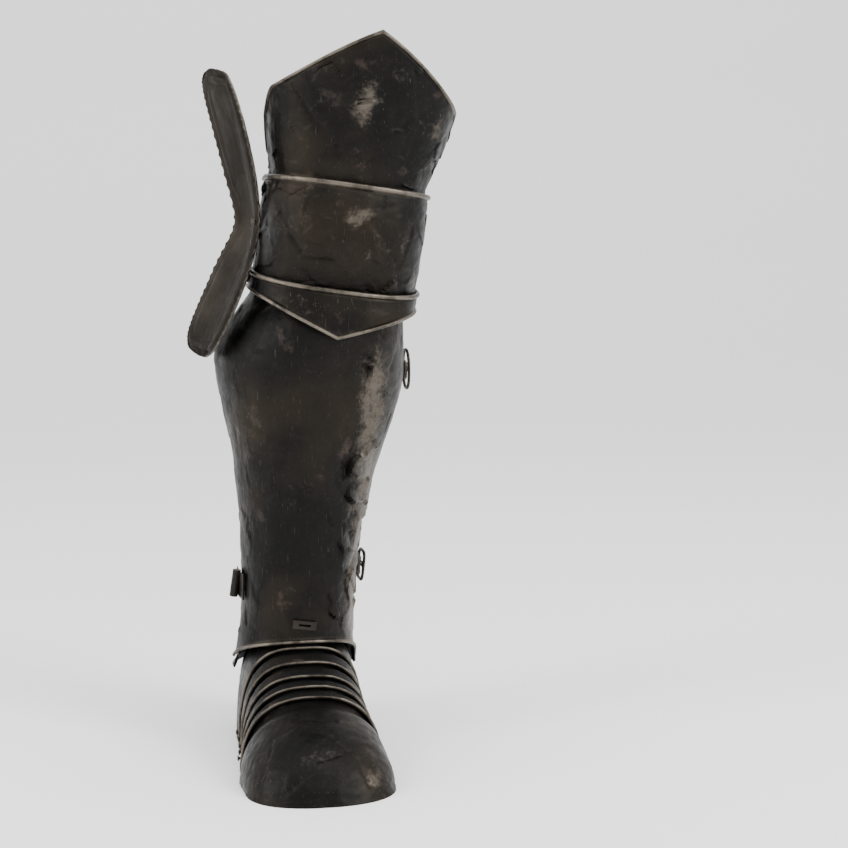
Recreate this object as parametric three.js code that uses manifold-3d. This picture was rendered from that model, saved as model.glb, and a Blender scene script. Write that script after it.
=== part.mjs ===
// Armour for a right lower leg: a closed greave with a knee defence above and a sabaton below.
// Millimetres, +Z up, toe towards -Y, outer side of the leg towards -X. It stands on the floor, z = 0.
import * as THREE from 'three';
import { mergeVertices } from 'three/addons/utils/BufferGeometryUtils.js';
import Module from 'manifold-3d';

const wasm = await Module();
wasm.setup();

// Driving dimensions
const PLATE = 1.6; // sheet thickness
const SLIP = 1.2; // running clearance between two plates that slide
const REST_GAP = 0.3; // gap between pieces that touch
const LAYER = PLATE + SLIP;
const BEAD = 2.2; // radius of a rolled edge
const KNEE_HEIGHT = 490; // knee centre above the floor
const KNEE_INWARD = 44; // knee centre towards the inner side, from the ankle
const KNEE_FORWARD = 32; // knee centre in front of the ankle
const LEAN_INWARD = THREE.MathUtils.degToRad(8);
const LEAN_FORWARD = THREE.MathUtils.degToRad(3);
const KNEE_WIDTH = 152; // knee cop, over its sides
const COP_DEPTH = 81; // knee cop, from the pivots' line to its front
const PIVOT_BACK = 8; // both knee pivots lie this far behind the knee centre
const LOW_PIVOT = -56; // height of the lame's pivot from the knee centre
const HIGH_PIVOT = 28; // height of the top plate's pivot
const LOW_RADIUS = 65; // cop's sliding surface about the lower pivot
const HIGH_RADIUS = 72; // top plate's sliding surface about the upper pivot
const TOP_RISE = 185; // point of the top plate above the knee centre
const THIGH_WIDTH = 176; // top plate at its widest
const SHIN = 400; // knee centre to the ankle, along the leg
const CALF_WIDTH = 182;
const CALF_DEPTH = 180;
const RIM_FLARE = 2.2; // outward turn of the greave's lower rim
const RIM_TURN = 12; // height of that turn
const RIM_FRONT = 105; // greave's lower rim above the floor, over the instep
const RIM_SIDE = 70; // greave's lower rim above the floor, at the sides and heel
const FOOT_LENGTH = 290;
const HEEL_BACK = 62; // heel behind the ankle
const FOOT_WIDTH = 138; // toe cap at its widest
const INSTEP = 108; // height of the foot's form at the ankle
const LAP = 9; // hidden lap of each foot lame
const WING_UP = 138; // wing above its waist
const WING_DOWN = 127; // wing below its waist
const WING_CHORD = 92; // wing from front to rear
const WING_PLATE = 2.0;
const WING_FLARE_UP = 46; // outward flare of the wing's upper end
const WING_FLARE_DOWN = 30; // outward flare of its lower end
const STRAP_WIDTH = 17;
const KNEE_STRAP_WIDTH = 28;
const LEATHER = 2.4;
const RIVET = 2.6; // radius of a pivot's shank
const HEAD = 4.6; // radius of a pivot's head
const HEAD_RISE = 2.0;
const WIRE = 1.5; // radius of a buckle's frame

// Materials
function steel(colour, roughness) {
  return new THREE.MeshStandardMaterial({ color: colour, metalness: 0.9, roughness });
}
const blackSteel = steel(0x23211f, 0.5);
const wornSteel = steel(0x5c544c, 0.45);
const fittings = steel(0x3a3632, 0.45);
const leather = new THREE.MeshStandardMaterial({ color: 0x14110f, metalness: 0, roughness: 0.75 });

const part = new THREE.Group();
const leg = new THREE.Group();
leg.position.set(KNEE_INWARD, -KNEE_FORWARD, KNEE_HEIGHT);
leg.rotation.set(LEAN_FORWARD, LEAN_INWARD, 0, 'YXZ');
part.add(leg);

// Tables: a smooth value through the rows of a table, by their first column
function through(rows, column, at) {
  const keys = rows.map((row) => row[0]);
  const rising = keys[keys.length - 1] > keys[0];
  const place = rising ? at : -at;
  const key = (i) => (rising ? keys[i] : -keys[i]);
  if (place <= key(0)) return rows[0][column];
  const last = rows.length - 1;
  if (place >= key(last)) return rows[last][column];
  let i = 0;
  while (place > key(i + 1)) i += 1;
  const slope = (j) => {
    const a = Math.max(j - 1, 0);
    const b = Math.min(j + 1, last);
    return (rows[b][column] - rows[a][column]) / (key(b) - key(a));
  };
  const span = key(i + 1) - key(i);
  const t = (place - key(i)) / span;
  const from = rows[i][column];
  const to = rows[i + 1][column];
  const rest = t * t * (3 - 2 * t);
  return from + (to - from) * rest + span * t * (1 - t) * ((1 - t) * slope(i) - t * slope(i + 1));
}

function clamp(value, low, high) {
  return Math.min(Math.max(value, low), high);
}

// Superellipse: the height of the curve over a share of its half-width
function arch(share, power) {
  return Math.pow(Math.max(1 - Math.pow(Math.min(Math.abs(share), 1), power), 0), 1 / power);
}

// Sheet solids
function spread(from, to, count) {
  return Array.from({ length: count + 1 }, (_, i) => from + ((to - from) * i) / count);
}

// Rows across a band of sheet: v from 0 to 1, with a half-round bead at either edge.
// Each row is a function of the band's width there, and carries its rise over the plain sheet.
const BEAD_PROFILE = [[0, 0.5], [0.7, 1], [1.9, 0.3]];
function bandRows(count, beads) {
  const rows = [];
  const low = beads.start ?? 0;
  const high = beads.end ?? 0;
  const turned = beads.turned ?? 0;
  const lowEnd = turned || low * 2;
  const highEnd = high * 2;
  if (low) BEAD_PROFILE.forEach(([d, h]) => rows.push({ at: (w) => (d * low) / w, rise: h * low }));
  if (turned) [0.5, 1].forEach((share) => rows.push({ at: (w) => (turned * share) / w, rise: 0 }));
  const first = low ? 1 : 0;
  const stop = high ? count - 1 : count;
  for (let i = first; i <= stop; i += 1) {
    const share = 1 - Math.pow(1 - i / count, beads.crowd ?? 1);
    rows.push({ at: (w) => (lowEnd + share * (w - lowEnd - highEnd)) / w, rise: 0 });
  }
  if (high) {
    [...BEAD_PROFILE].reverse().forEach(([d, h]) => {
      rows.push({ at: (w) => 1 - (d * high) / w, rise: h * high });
    });
  }
  return rows;
}

function faces(columns, rows) {
  const triangles = [];
  const across = columns - 1;
  const layer = columns * rows;
  const quad = (a, b, c, d) => triangles.push(a, b, c, a, c, d);
  const at = (i, j, side) => side * layer + i * rows + j;
  for (let i = 0; i < across; i += 1) {
    for (let j = 0; j < rows - 1; j += 1) {
      quad(at(i, j, 0), at(i + 1, j, 0), at(i + 1, j + 1, 0), at(i, j + 1, 0));
      quad(at(i, j, 1), at(i, j + 1, 1), at(i + 1, j + 1, 1), at(i + 1, j, 1));
    }
    quad(at(i, 0, 1), at(i + 1, 0, 1), at(i + 1, 0, 0), at(i, 0, 0));
    quad(at(i, rows - 1, 0), at(i + 1, rows - 1, 0), at(i + 1, rows - 1, 1), at(i, rows - 1, 1));
  }
  for (let j = 0; j < rows - 1; j += 1) {
    quad(at(0, j, 0), at(0, j + 1, 0), at(0, j + 1, 1), at(0, j, 1));
    quad(at(across, j, 1), at(across, j + 1, 1), at(across, j + 1, 0), at(across, j, 0));
  }
  return triangles;
}

function geometryFrom(points, triangles) {
  const geometry = new THREE.BufferGeometry();
  geometry.setAttribute('position', new THREE.Float32BufferAttribute(points.flatMap((p) => p.toArray()), 3));
  let volume = 0;
  for (let i = 0; i < triangles.length; i += 3) {
    const [a, b, c] = [points[triangles[i]], points[triangles[i + 1]], points[triangles[i + 2]]];
    volume += a.dot(new THREE.Vector3().crossVectors(b, c));
  }
  const facingOut = volume > 0 ? triangles : [...triangles].reverse();
  geometry.setIndex(facingOut);
  return geometry;
}

// A closed shell of sheet: surface(u, v) is its outer face, and the inner face lies a thickness below.
const STEP = 1e-3;
function sheet({ surface, us, rows, width, thickness, fade = () => 1, floor = -Infinity }) {
  const outer = [];
  const inner = [];
  us.forEach((u) => {
    const span = width(u);
    rows.forEach((row) => {
      const v = row.at(span);
      const low = Math.max(v - STEP, 0);
      const high = Math.min(v + STEP, 1);
      const point = surface(u, v);
      const along = surface(u + STEP, v).sub(surface(u - STEP, v));
      const up = surface(u, high).sub(surface(u, low));
      const normal = along.cross(up).normalize();
      outer.push(point.clone().addScaledVector(normal, row.rise * fade(u)));
      inner.push(point.clone().addScaledVector(normal, -thickness));
    });
  });
  const points = [...outer, ...inner];
  points.forEach((point) => {
    point.z = Math.max(point.z, floor);
  });
  return geometryFrom(points, faces(us.length, rows.length));
}

// Booleans
function toSolid(geometry) {
  const bare = geometry.clone();
  bare.deleteAttribute('normal');
  bare.deleteAttribute('uv');
  const merged = mergeVertices(bare, 1e-4);
  const vertProperties = merged.attributes.position.array;
  const triVerts = new Uint32Array(merged.index.array);
  return new wasm.Manifold(new wasm.Mesh({ numProp: 3, vertProperties, triVerts }));
}

function toGeometry(solid) {
  const mesh = solid.getMesh();
  const geometry = new THREE.BufferGeometry();
  geometry.setAttribute('position', new THREE.BufferAttribute(new Float32Array(mesh.vertProperties), 3));
  geometry.setIndex([...mesh.triVerts]);
  return geometry;
}

function drilled(geometry, drills) {
  return toGeometry(drills.reduce((solid, drill) => solid.subtract(toSolid(drill)), toSolid(geometry)));
}

// A rod along X from one place to another
function rod(radius, fromX, toX, y, z, sides = 8) {
  const shape = new THREE.CylinderGeometry(radius, radius, Math.abs(toX - fromX), sides);
  shape.rotateZ(Math.PI / 2);
  shape.translate((fromX + toX) / 2, y, z);
  return shape;
}

// A domed rivet along X: its head outside at headX, its shank, and its washer inside at tailX
function rivet(headX, tailX, y, z, shank = RIVET, head = HEAD, sides = 7) {
  const length = Math.abs(headX - tailX);
  const profile = [
    [0, -HEAD_RISE * 0.6], [head * 0.8, -HEAD_RISE * 0.6], [head * 0.8, 0], [shank, 0],
    [shank, length], [head, length], [head * 0.7, length + HEAD_RISE * 0.8], [0, length + HEAD_RISE],
  ].map(([radius, along]) => new THREE.Vector2(radius, along));
  const shape = new THREE.LatheGeometry(profile, sides);
  shape.rotateZ(headX > tailX ? -Math.PI / 2 : Math.PI / 2);
  shape.translate(tailX, y, z);
  return shape;
}

function add(parent, name, geometry, material) {
  const mesh = new THREE.Mesh(geometry, material);
  mesh.name = name;
  parent.add(mesh);
  return mesh;
}

// Knee plates: for each height, how far the front lies from the pivots' line. Between the pivots the
// sections are level, and past a pivot the surface turns about it, so that the plates slide.
const KNEE_POWER = 2.6;
const HALF_TURN = 0.8; // share of u that a plate spends in front of the pivots' line

function kneeForm({ half, depth, rear, hub }) {
  return (u, z) => {
    const share = Math.abs(u);
    const side = Math.sign(u);
    const reach = Math.pow(Math.cos((Math.min(share / HALF_TURN, 1) * Math.PI) / 2), 2 / KNEE_POWER);
    const behind = clamp((share - HALF_TURN) / (1 - HALF_TURN), 0, 1);
    const out = depth(z);
    const offset = z - hub(z);
    const radius = Math.hypot(out, offset);
    const back = behind > 0 ? behind * rear(z) : -out * reach;
    const x = half(z) * arch(Math.hypot(back, offset) / radius, KNEE_POWER);
    return new THREE.Vector3(side * x, PIVOT_BACK + back, z);
  };
}

function kneePlate(parent, { name, form, low, high, beads, columns, count, holes, material }) {
  const surface = (u, v) => form(u, THREE.MathUtils.lerp(low(Math.abs(u)), high(Math.abs(u)), v));
  const width = (u) => surface(u, 0).distanceTo(surface(u, 1)) || 1;
  const us = spread(-1, 1, columns);
  const shape = sheet({ surface, us, rows: bandRows(count, beads), width, thickness: PLATE });
  return add(parent, name, drilled(shape, holes), material);
}

function rounded(radius, rise) {
  return Math.sqrt(Math.max(radius * radius - rise * rise, 0));
}

const COP_HALF = KNEE_WIDTH / 2;
const COP_LOW = LOW_PIVOT - 17;
const COP_HIGH = 48;
const HOLE = RIVET + REST_GAP;
const lowHole = rod(HOLE, -KNEE_WIDTH, KNEE_WIDTH, PIVOT_BACK, LOW_PIVOT);
const highHole = rod(HOLE, -KNEE_WIDTH, KNEE_WIDTH, PIVOT_BACK, HIGH_PIVOT);

// Knee cop. Columns: height, share of the cop's depth
const COP_FRONT = [
  [LOW_PIVOT, LOW_RADIUS / COP_DEPTH], [-47, 0.815], [-30, 0.925], [-6, 1], [16, 0.995], [34, 0.965],
  [COP_HIGH, rounded(HIGH_RADIUS + LAYER + 2 * REST_GAP, COP_HIGH - HIGH_PIVOT) / COP_DEPTH],
];
function copDepth(z) {
  if (z < LOW_PIVOT) return rounded(LOW_RADIUS, z - LOW_PIVOT);
  return COP_DEPTH * through(COP_FRONT, 1, z);
}
const copForm = kneeForm({
  half: () => COP_HALF,
  depth: copDepth,
  rear: (z) => 12 + 10 * Math.cos(((z - 2) / 60) * (Math.PI / 2)),
  hub: (z) => clamp(z, LOW_PIVOT, HIGH_PIVOT),
});
const KNEE_STRAP_Z = -4;
const STRAP_PIN_Y = 16;
const WING_PIN = 2.2;
const strapHole = rod(WING_PIN + REST_GAP, -KNEE_WIDTH, KNEE_WIDTH, STRAP_PIN_Y, KNEE_STRAP_Z);
const WING_RIVETS = [[0, -3], [0, -21], [16, KNEE_STRAP_Z]]; // columns: y, z
const STRAP_SET = 2.0; // the knee strap lies this far inside the cop's wall
const WING_TAIL = STRAP_SET + LEATHER + REST_GAP; // depth of the wing rivets' washers inside the cop
const wingHoles = WING_RIVETS.slice(0, 2).map(([y, z]) => rod(WING_PIN + REST_GAP, -KNEE_WIDTH, 0, y, z));
kneePlate(leg, {
  name: 'knee_cop',
  form: copForm,
  low: (s) => COP_LOW + 9 * s * s,
  high: (s) => COP_HIGH - 10 * s * s,
  beads: { end: BEAD },
  columns: 18,
  count: 9,
  holes: [lowHole, highHole, strapHole, ...wingHoles],
  material: blackSteel,
});

// Top plate. Columns: height, forward lean as a share of the rise, half-width as a share of the widest
const TOP_HALF_LOW = COP_HALF - LAYER;
const TOP_ROWS = [
  [COP_HIGH, 0, TOP_HALF_LOW / (THIGH_WIDTH / 2)],
  [85, 0.03, 0.93], [120, 0.055, 1], [155, 0.075, 0.99], [TOP_RISE, 0.085, 0.97],
];
function topDepth(z) {
  if (z < COP_HIGH) return rounded(HIGH_RADIUS, z - HIGH_PIVOT);
  const start = rounded(HIGH_RADIUS, COP_HIGH - HIGH_PIVOT);
  return start + TOP_RISE * through(TOP_ROWS, 1, z);
}
const topForm = kneeForm({
  half: (z) => (THIGH_WIDTH / 2) * through(TOP_ROWS, 2, z),
  depth: topDepth,
  rear: (z) => 10 + 14 * THREE.MathUtils.smoothstep(z, 20, 52),
  hub: (z) => (z < COP_HIGH ? clamp(z, 0, HIGH_PIVOT)
    : z - (COP_HIGH - HIGH_PIVOT) * (1 - THREE.MathUtils.smoothstep(z, COP_HIGH, 100))),
});
const TOP_CORNER = 120; // height where the rim turns down at the sides
const TOP_SHOULDER = 0.64; // share of u where the rim starts down
function topRim(s) {
  const front = Math.pow(Math.sin((Math.min(s / HALF_TURN, 1) * Math.PI) / 2), 2 / KNEE_POWER);
  const slope = TOP_RISE - (TOP_RISE - TOP_CORNER) * (0.35 * front * front + 0.65 * front);
  const drop = Math.pow(clamp((s - TOP_SHOULDER) / (1 - TOP_SHOULDER), 0, 1), 1.4);
  return slope - (TOP_CORNER - COP_HIGH) * drop;
}
kneePlate(leg, {
  name: 'top_plate',
  form: topForm,
  low: (s) => 12 + 4 * s * s,
  high: topRim,
  beads: { end: BEAD },
  columns: 20,
  count: 8,
  holes: [highHole],
  material: blackSteel,
});

// Lower lame. Columns: height, front depth over the cop's sliding surface, flare of the sides
const LAME_HALF = COP_HALF + LAYER;
const LAME_TOP = LOW_PIVOT + 7;
const LAME_POINT = LOW_PIVOT - 39;
const LAME_ROWS = [
  [LAME_POINT, 8, 5], [-82, 7.8, 2.5], [-71, 7, 0.6], [-62, 5.2, 0], [LAME_TOP, LAYER + 1, 0],
];
const lameForm = kneeForm({
  half: (z) => LAME_HALF + through(LAME_ROWS, 2, z),
  depth: (z) => LOW_RADIUS + through(LAME_ROWS, 1, z),
  rear: () => 11,
  hub: (z) => Math.max(z, LOW_PIVOT),
});
function lameFront(s) {
  return Math.pow(Math.sin((Math.min(s / HALF_TURN, 1) * Math.PI) / 2), 2 / KNEE_POWER);
}
kneePlate(leg, {
  name: 'lower_lame',
  form: lameForm,
  low: (s) => LAME_POINT + 29 * lameFront(s),
  high: (s) => LAME_TOP + 4 * s * s,
  beads: { start: BEAD * 0.8, end: BEAD },
  columns: 20,
  count: 4,
  holes: [lowHole],
  material: blackSteel,
});

// Greave: level rings along the leg. Columns: share of the shin below the knee, centre to the inner
// side, centre back, half-width, front depth, back depth, as shares of the calf's width and depth.
const RINGS = [
  [0.11, 0, 0.194, 0.396, 0.48, 0.444],
  [0.18, -0.005, 0.2, 0.408, 0.484, 0.444],
  [0.23, -0.022, 0.211, 0.445, 0.533, 0.444],
  [0.288, -0.038, 0.222, 0.484, 0.539, 0.456],
  [0.338, -0.044, 0.233, 0.505, 0.533, 0.467],
  [0.438, -0.03, 0.211, 0.462, 0.5, 0.456],
  [0.55, -0.014, 0.172, 0.39, 0.45, 0.422],
  [0.65, 0, 0.139, 0.349, 0.406, 0.367],
  [0.758, 0.016, 0.094, 0.319, 0.361, 0.328],
  [0.863, 0.041, 0.061, 0.305, 0.333, 0.317],
  [0.963, 0.058, 0.044, 0.305, 0.328, 0.317],
  [0.993, 0.062, 0.042, 0.313, 0.339, 0.322],
  [1.063, 0.077, 0.033, 0.324, 0.35, 0.333],
];
const RING_POWER = 2.15;
const GREAVE_TOP = -0.11 * SHIN;
function ring(turn, z, inset) {
  const at = -z / SHIN;
  const value = (column, size) => size * through(RINGS, column, at);
  const half = value(3, CALF_WIDTH) - inset;
  const ahead = Math.cos(turn);
  const across = Math.sin(turn);
  const deep = (ahead > 0 ? value(4, CALF_DEPTH) : value(5, CALF_DEPTH)) - inset;
  const round = (share) => Math.sign(share) * Math.pow(Math.abs(share), 2 / RING_POWER);
  return new THREE.Vector3(value(1, CALF_WIDTH) + half * round(across),
    value(2, CALF_DEPTH) - deep * round(ahead), z);
}

// The height along the leg where a ring meets a level above the floor
function legLevel(turn, level) {
  const near = ring(turn, -SHIN, 0);
  const upright = (level - KNEE_HEIGHT + near.x * Math.sin(LEAN_INWARD)) / Math.cos(LEAN_INWARD);
  return (upright - near.y * Math.sin(LEAN_FORWARD)) / Math.cos(LEAN_FORWARD);
}

function lowerRim(turn) {
  const front = Math.pow(Math.max(Math.cos(turn), 0), 0.45);
  return legLevel(turn, RIM_SIDE + (RIM_FRONT - RIM_SIDE) * front);
}

const OUTER_SEAM = THREE.MathUtils.degToRad(-84);
const INNER_SEAM = THREE.MathUtils.degToRad(102);
const SEAM_LAP = THREE.MathUtils.degToRad(6);
const BACK_INSET = PLATE + 1.4;

function greavePlate(name, from, to, inset, columns, beads, top) {
  const surface = (u, v) => {
    const turn = THREE.MathUtils.lerp(from, to, (u + 1) / 2);
    const z = THREE.MathUtils.lerp(lowerRim(turn), top, v);
    const flare = RIM_FLARE * Math.pow(Math.max(1 - (z - lowerRim(turn)) / RIM_TURN, 0), 2);
    return ring(turn, z, inset - flare);
  };
  const width = (u) => surface(u, 0).distanceTo(surface(u, 1));
  const rows = bandRows(9, { ...beads, turned: RIM_TURN, crowd: 1.3 });
  const fade = (u) => (inset ? 1 - THREE.MathUtils.smoothstep(Math.abs(u), 0.78, 0.86) : 1);
  return sheet({ surface, us: spread(-1, 1, columns), rows, width, thickness: PLATE, fade });
}

const ringHoles = [rod(HOLE, -KNEE_WIDTH, KNEE_WIDTH, PIVOT_BACK, LOW_PIVOT)];
const frontShape = greavePlate('greave_front', OUTER_SEAM, INNER_SEAM, 0, 18, { start: 1.5 }, GREAVE_TOP);
add(leg, 'greave_front', drilled(frontShape, ringHoles), blackSteel);
const backShape = greavePlate('greave_back', INNER_SEAM - SEAM_LAP, OUTER_SEAM + SEAM_LAP + 2 * Math.PI,
  BACK_INSET, 14, { start: 1.5, end: BEAD }, GREAVE_TOP);
add(leg, 'greave_back', backShape, blackSteel);

// Knee pivots, one on each side of both axes
[-1, 1].forEach((side) => {
  const label = side < 0 ? 'outer' : 'inner';
  const lowHead = side * (LAME_HALF + REST_GAP + 0.2);
  const lowTail = side * (COP_HALF - LAYER - PLATE - 5.2);
  add(leg, `lame_pivot_${label}`, rivet(lowHead, lowTail, PIVOT_BACK, LOW_PIVOT), fittings);
  const highHead = side * (COP_HALF + REST_GAP + 0.2);
  const highTail = side * (TOP_HALF_LOW - PLATE - REST_GAP);
  add(leg, `top_pivot_${label}`, rivet(highHead, highTail, PIVOT_BACK, HIGH_PIVOT), fittings);
});

// Side wing: two lobes joined at a waist, fluted out of the waist, flared outwards at both ends.
const WAIST_Z = -10;
const WING_X = COP_HALF + WING_PLATE + REST_GAP;
const FLUTES = 3;
const WING_MIDDLE = 22; // the waist's middle lies this far behind the knee centre
const SPLAY = 0.3; // the wing's rear stands this share of its length further out than its front
function wingPoint(across, along, lift) {
  const q = Math.sin((along * Math.PI * 0.494));
  const z = WAIST_Z + q * (q > 0 ? WING_UP : WING_DOWN);
  const lobe = Math.sqrt(Math.max(1 - Math.pow(Math.abs(q), 8), 0));
  const pinch = 1 - 0.35 * Math.exp(-Math.pow(q / 0.24, 2));
  const half = (WING_CHORD / 2) * lobe * pinch;
  const middle = WING_MIDDLE + 12 * q * q + 4 * q;
  const y = middle + across * half;
  const splay = SPLAY * Math.max(y, 0) * THREE.MathUtils.smoothstep(Math.abs(y - 4), 14, 44);
  const flare = (q > 0 ? WING_FLARE_UP : WING_FLARE_DOWN) * Math.pow(Math.abs(q), 1.35);
  const window = Math.max(1 - across * across, 0) * THREE.MathUtils.smoothstep(Math.abs(q), 0.12, 0.5);
  const flute = 1.5 * Math.cos(across * Math.PI * FLUTES) * window;
  return new THREE.Vector3(-(WING_X + splay + flare + flute + lift), y, z);
}
const wingSurface = (u, v) => wingPoint(v * 2 - 1, u, 0);
const wingWidth = (u) => wingSurface(u, 0).distanceTo(wingSurface(u, 1));
const wingShape = sheet({
  surface: wingSurface,
  us: spread(1, -1, 16),
  rows: bandRows(12, {}),
  width: wingWidth,
  thickness: WING_PLATE,
});
add(leg, 'side_wing', drilled(wingShape, [...wingHoles, strapHole]), wornSteel);
WING_RIVETS.forEach(([y, z], index) => {
  const outside = -wingPoint((y - WING_MIDDLE) / 30, 0, 0).x;
  const shape = rivet(-(outside + 3), -(COP_HALF - PLATE - WING_TAIL), y, z, WING_PIN, 4);
  add(leg, `wing_rivet_${index + 1}`, shape, fittings);
});

// Leather and fittings on the greave
const REST_LIFT = 1.1; // what lies on the greave stands this far off its curve, clear of its facets
function ringPatch({ from, to, z, width, thickness, lift = REST_LIFT, tilt = 0, columns = 12 }) {
  const surface = (u, v) => {
    const turn = THREE.MathUtils.lerp(from, to, (u + 1) / 2);
    const step = THREE.MathUtils.smoothstep(turn, INNER_SEAM + 0.02, INNER_SEAM + 0.14);
    return ring(turn, z + tilt * u + (v - 0.5) * width, -(lift + thickness) + BACK_INSET * step);
  };
  return sheet({ surface, us: spread(-1, 1, columns), rows: bandRows(2, {}), width: () => width, thickness });
}

// A buckle: an oval frame of wire with a pin across it, flat against a place on the leg
function buckleShape(place, outward, halfWidth, halfHeight) {
  const frame = new THREE.TorusGeometry(1, WIRE / halfWidth, 5, 14);
  frame.scale(halfWidth, halfHeight, halfWidth);
  const pin = new THREE.CylinderGeometry(WIRE * 0.8, WIRE * 0.8, 2 * halfWidth, 6);
  pin.rotateZ(Math.PI / 2);
  const shape = toGeometry(toSolid(frame).add(toSolid(pin)));
  const axis = new THREE.Vector3(0, 0, 1).cross(outward).normalize();
  const upright = outward.clone().cross(axis).normalize();
  const turn = new THREE.Matrix4().makeBasis(axis, upright, outward).setPosition(place);
  return shape.applyMatrix4(turn);
}

function ringNormal(turn, z) {
  const along = ring(turn + STEP, z, 0).sub(ring(turn - STEP, z, 0));
  const up = ring(turn, z + 1, 0).sub(ring(turn, z - 1, 0));
  return along.cross(up).normalize();
}

// Columns: name, share of the shin below the knee, buckle's half-width and half-height
const CLOSURES = [['upper', 0.318, 12, 19], ['lower', 0.795, 12, 14]];
const STRAP_FROM = INNER_SEAM - 0.42;
const STRAP_TO = INNER_SEAM + 0.4;
CLOSURES.forEach(([label, share, halfWidth, halfHeight]) => {
  const z = -share * SHIN;
  const strap = { from: STRAP_FROM, to: STRAP_TO, z, width: STRAP_WIDTH, thickness: LEATHER };
  add(leg, `strap_${label}`, ringPatch(strap), leather);
  const turn = INNER_SEAM - 0.14;
  const outward = ringNormal(turn, z);
  const lift = REST_LIFT + LEATHER + WIRE + 1.1;
  const place = ring(turn, z - 3, 0).addScaledVector(outward, lift);
  add(leg, `buckle_${label}`, buckleShape(place, outward, halfWidth, halfHeight), fittings);
});

const HINGE_AT = -0.868 * SHIN;
const HINGE_LEAF = 1.4;
const HINGE_BARREL = 4;
const HINGE_HEIGHT = 24;
const leaf = ringPatch({
  from: OUTER_SEAM - 0.2, to: OUTER_SEAM + 0.24, z: HINGE_AT, width: HINGE_HEIGHT, thickness: HINGE_LEAF, lift: 1.9,
});
const barrel = new THREE.CylinderGeometry(HINGE_BARREL, HINGE_BARREL, HINGE_HEIGHT + 2, 12);
barrel.rotateX(Math.PI / 2);
const barrelPlace = ring(OUTER_SEAM, HINGE_AT, -(HINGE_BARREL + 2.4));
barrel.translate(barrelPlace.x, barrelPlace.y, barrelPlace.z);
add(leg, 'greave_hinge', toGeometry(toSolid(leaf).add(toSolid(barrel))), fittings);

const PIN_AT = -0.918 * SHIN;
const pinPlate = ringPatch({ from: -0.17, to: 0.17, z: PIN_AT, width: 8, thickness: 2.6 });
const pinSlot = new THREE.BoxGeometry(11, 40, 2.2);
const pinPlace = ring(0, PIN_AT, 0);
pinSlot.translate(pinPlace.x, pinPlace.y, PIN_AT);
add(leg, 'front_staple', drilled(pinPlate, [pinSlot]), fittings);

// Knee strap: a leather band round the back of the knee, riveted inside the cop
const KNEE_STRAP_REAR = 46;
const STRAP_ROOT = 24; // where the band leaves the cop
function kneeStrap(u, v) {
  const share = Math.abs(u);
  const half = COP_HALF - PLATE - STRAP_SET;
  const angle = (Math.min(share / 0.86, 1) * Math.PI) / 2;
  const ahead = clamp((share - 0.86) / 0.14, 0, 1) * 18;
  const x = half * Math.pow(Math.sin(angle), 2 / 2.4) - ahead * 0.015;
  const y = STRAP_ROOT + KNEE_STRAP_REAR * Math.pow(Math.cos(angle), 2 / 2.4) - ahead;
  const sag = -3 * Math.cos(angle);
  return new THREE.Vector3(Math.sign(u) * x, y, KNEE_STRAP_Z + sag + (v - 0.5) * KNEE_STRAP_WIDTH);
}
const kneeStrapShape = sheet({
  surface: (u, v) => kneeStrap(-u, v),
  us: spread(-1, 1, 22),
  rows: bandRows(1, {}),
  width: () => KNEE_STRAP_WIDTH,
  thickness: LEATHER,
});
add(leg, 'knee_strap', drilled(kneeStrapShape, [strapHole]), leather);
const strapHead = COP_HALF + 0.1;
const strapTail = COP_HALF - PLATE - WING_TAIL;
add(leg, 'strap_rivet_inner', rivet(strapHead, strapTail, STRAP_PIN_Y, KNEE_STRAP_Z, WING_PIN, 4), fittings);
const buckleSide = kneeStrap(0.42, 0.5);
const buckleAlong = kneeStrap(0.45, 0.5).sub(kneeStrap(0.39, 0.5));
const buckleOut = new THREE.Vector3(-buckleAlong.y, buckleAlong.x, 0).normalize();
buckleOut.multiplyScalar(Math.sign(buckleOut.y));
const kneeBucklePlace = buckleSide.clone().addScaledVector(buckleOut, WIRE + 1.2);
add(leg, 'knee_buckle', buckleShape(kneeBucklePlace, buckleOut, 11, 19), fittings);

// Sabaton. Places along the foot are shares of the toe's reach in front of the ankle.
const TOE_REACH = FOOT_LENGTH - HEEL_BACK;
// Columns: place, height as a share of the instep
const INSTEP_ROWS = [
  [0.13, 1.02], [0.28, 0.93], [0.36, 0.84], [0.43, 0.76], [0.485, 0.7], [0.54, 0.64],
  [0.66, 0.56], [0.79, 0.455], [0.9, 0.31], [0.965, 0.15], [1, 0],
];
// Columns: place, half-width as a share of the foot's half-width, squareness of the section
const SOLE_ROWS = [
  [0, 0.84, 3.4], [0.15, 0.84, 3.2], [0.25, 0.85, 3], [0.34, 0.87, 2.8], [0.43, 0.9, 2.6],
  [0.51, 0.94, 2.45], [0.64, 1, 2.35], [0.8, 0.97, 2.3],
];
function footPoint(u, soleAt, topAt, inset) {
  const angle = (clamp(u, -1, 1) * Math.PI) / 2;
  const power = through(SOLE_ROWS, 2, soleAt);
  const side = Math.sign(u) * Math.pow(Math.abs(Math.sin(angle)), 2 / power);
  const up = Math.pow(Math.max(Math.cos(angle), 0), 2 / power);
  const half = (FOOT_WIDTH / 2) * through(SOLE_ROWS, 1, soleAt) - inset;
  const height = Math.max(INSTEP * through(INSTEP_ROWS, 1, topAt) - inset, 0);
  const y = -TOE_REACH * THREE.MathUtils.lerp(soleAt, topAt, up);
  return new THREE.Vector3(half * side, y, height * (angle === 0 ? 1 : up));
}

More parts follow.
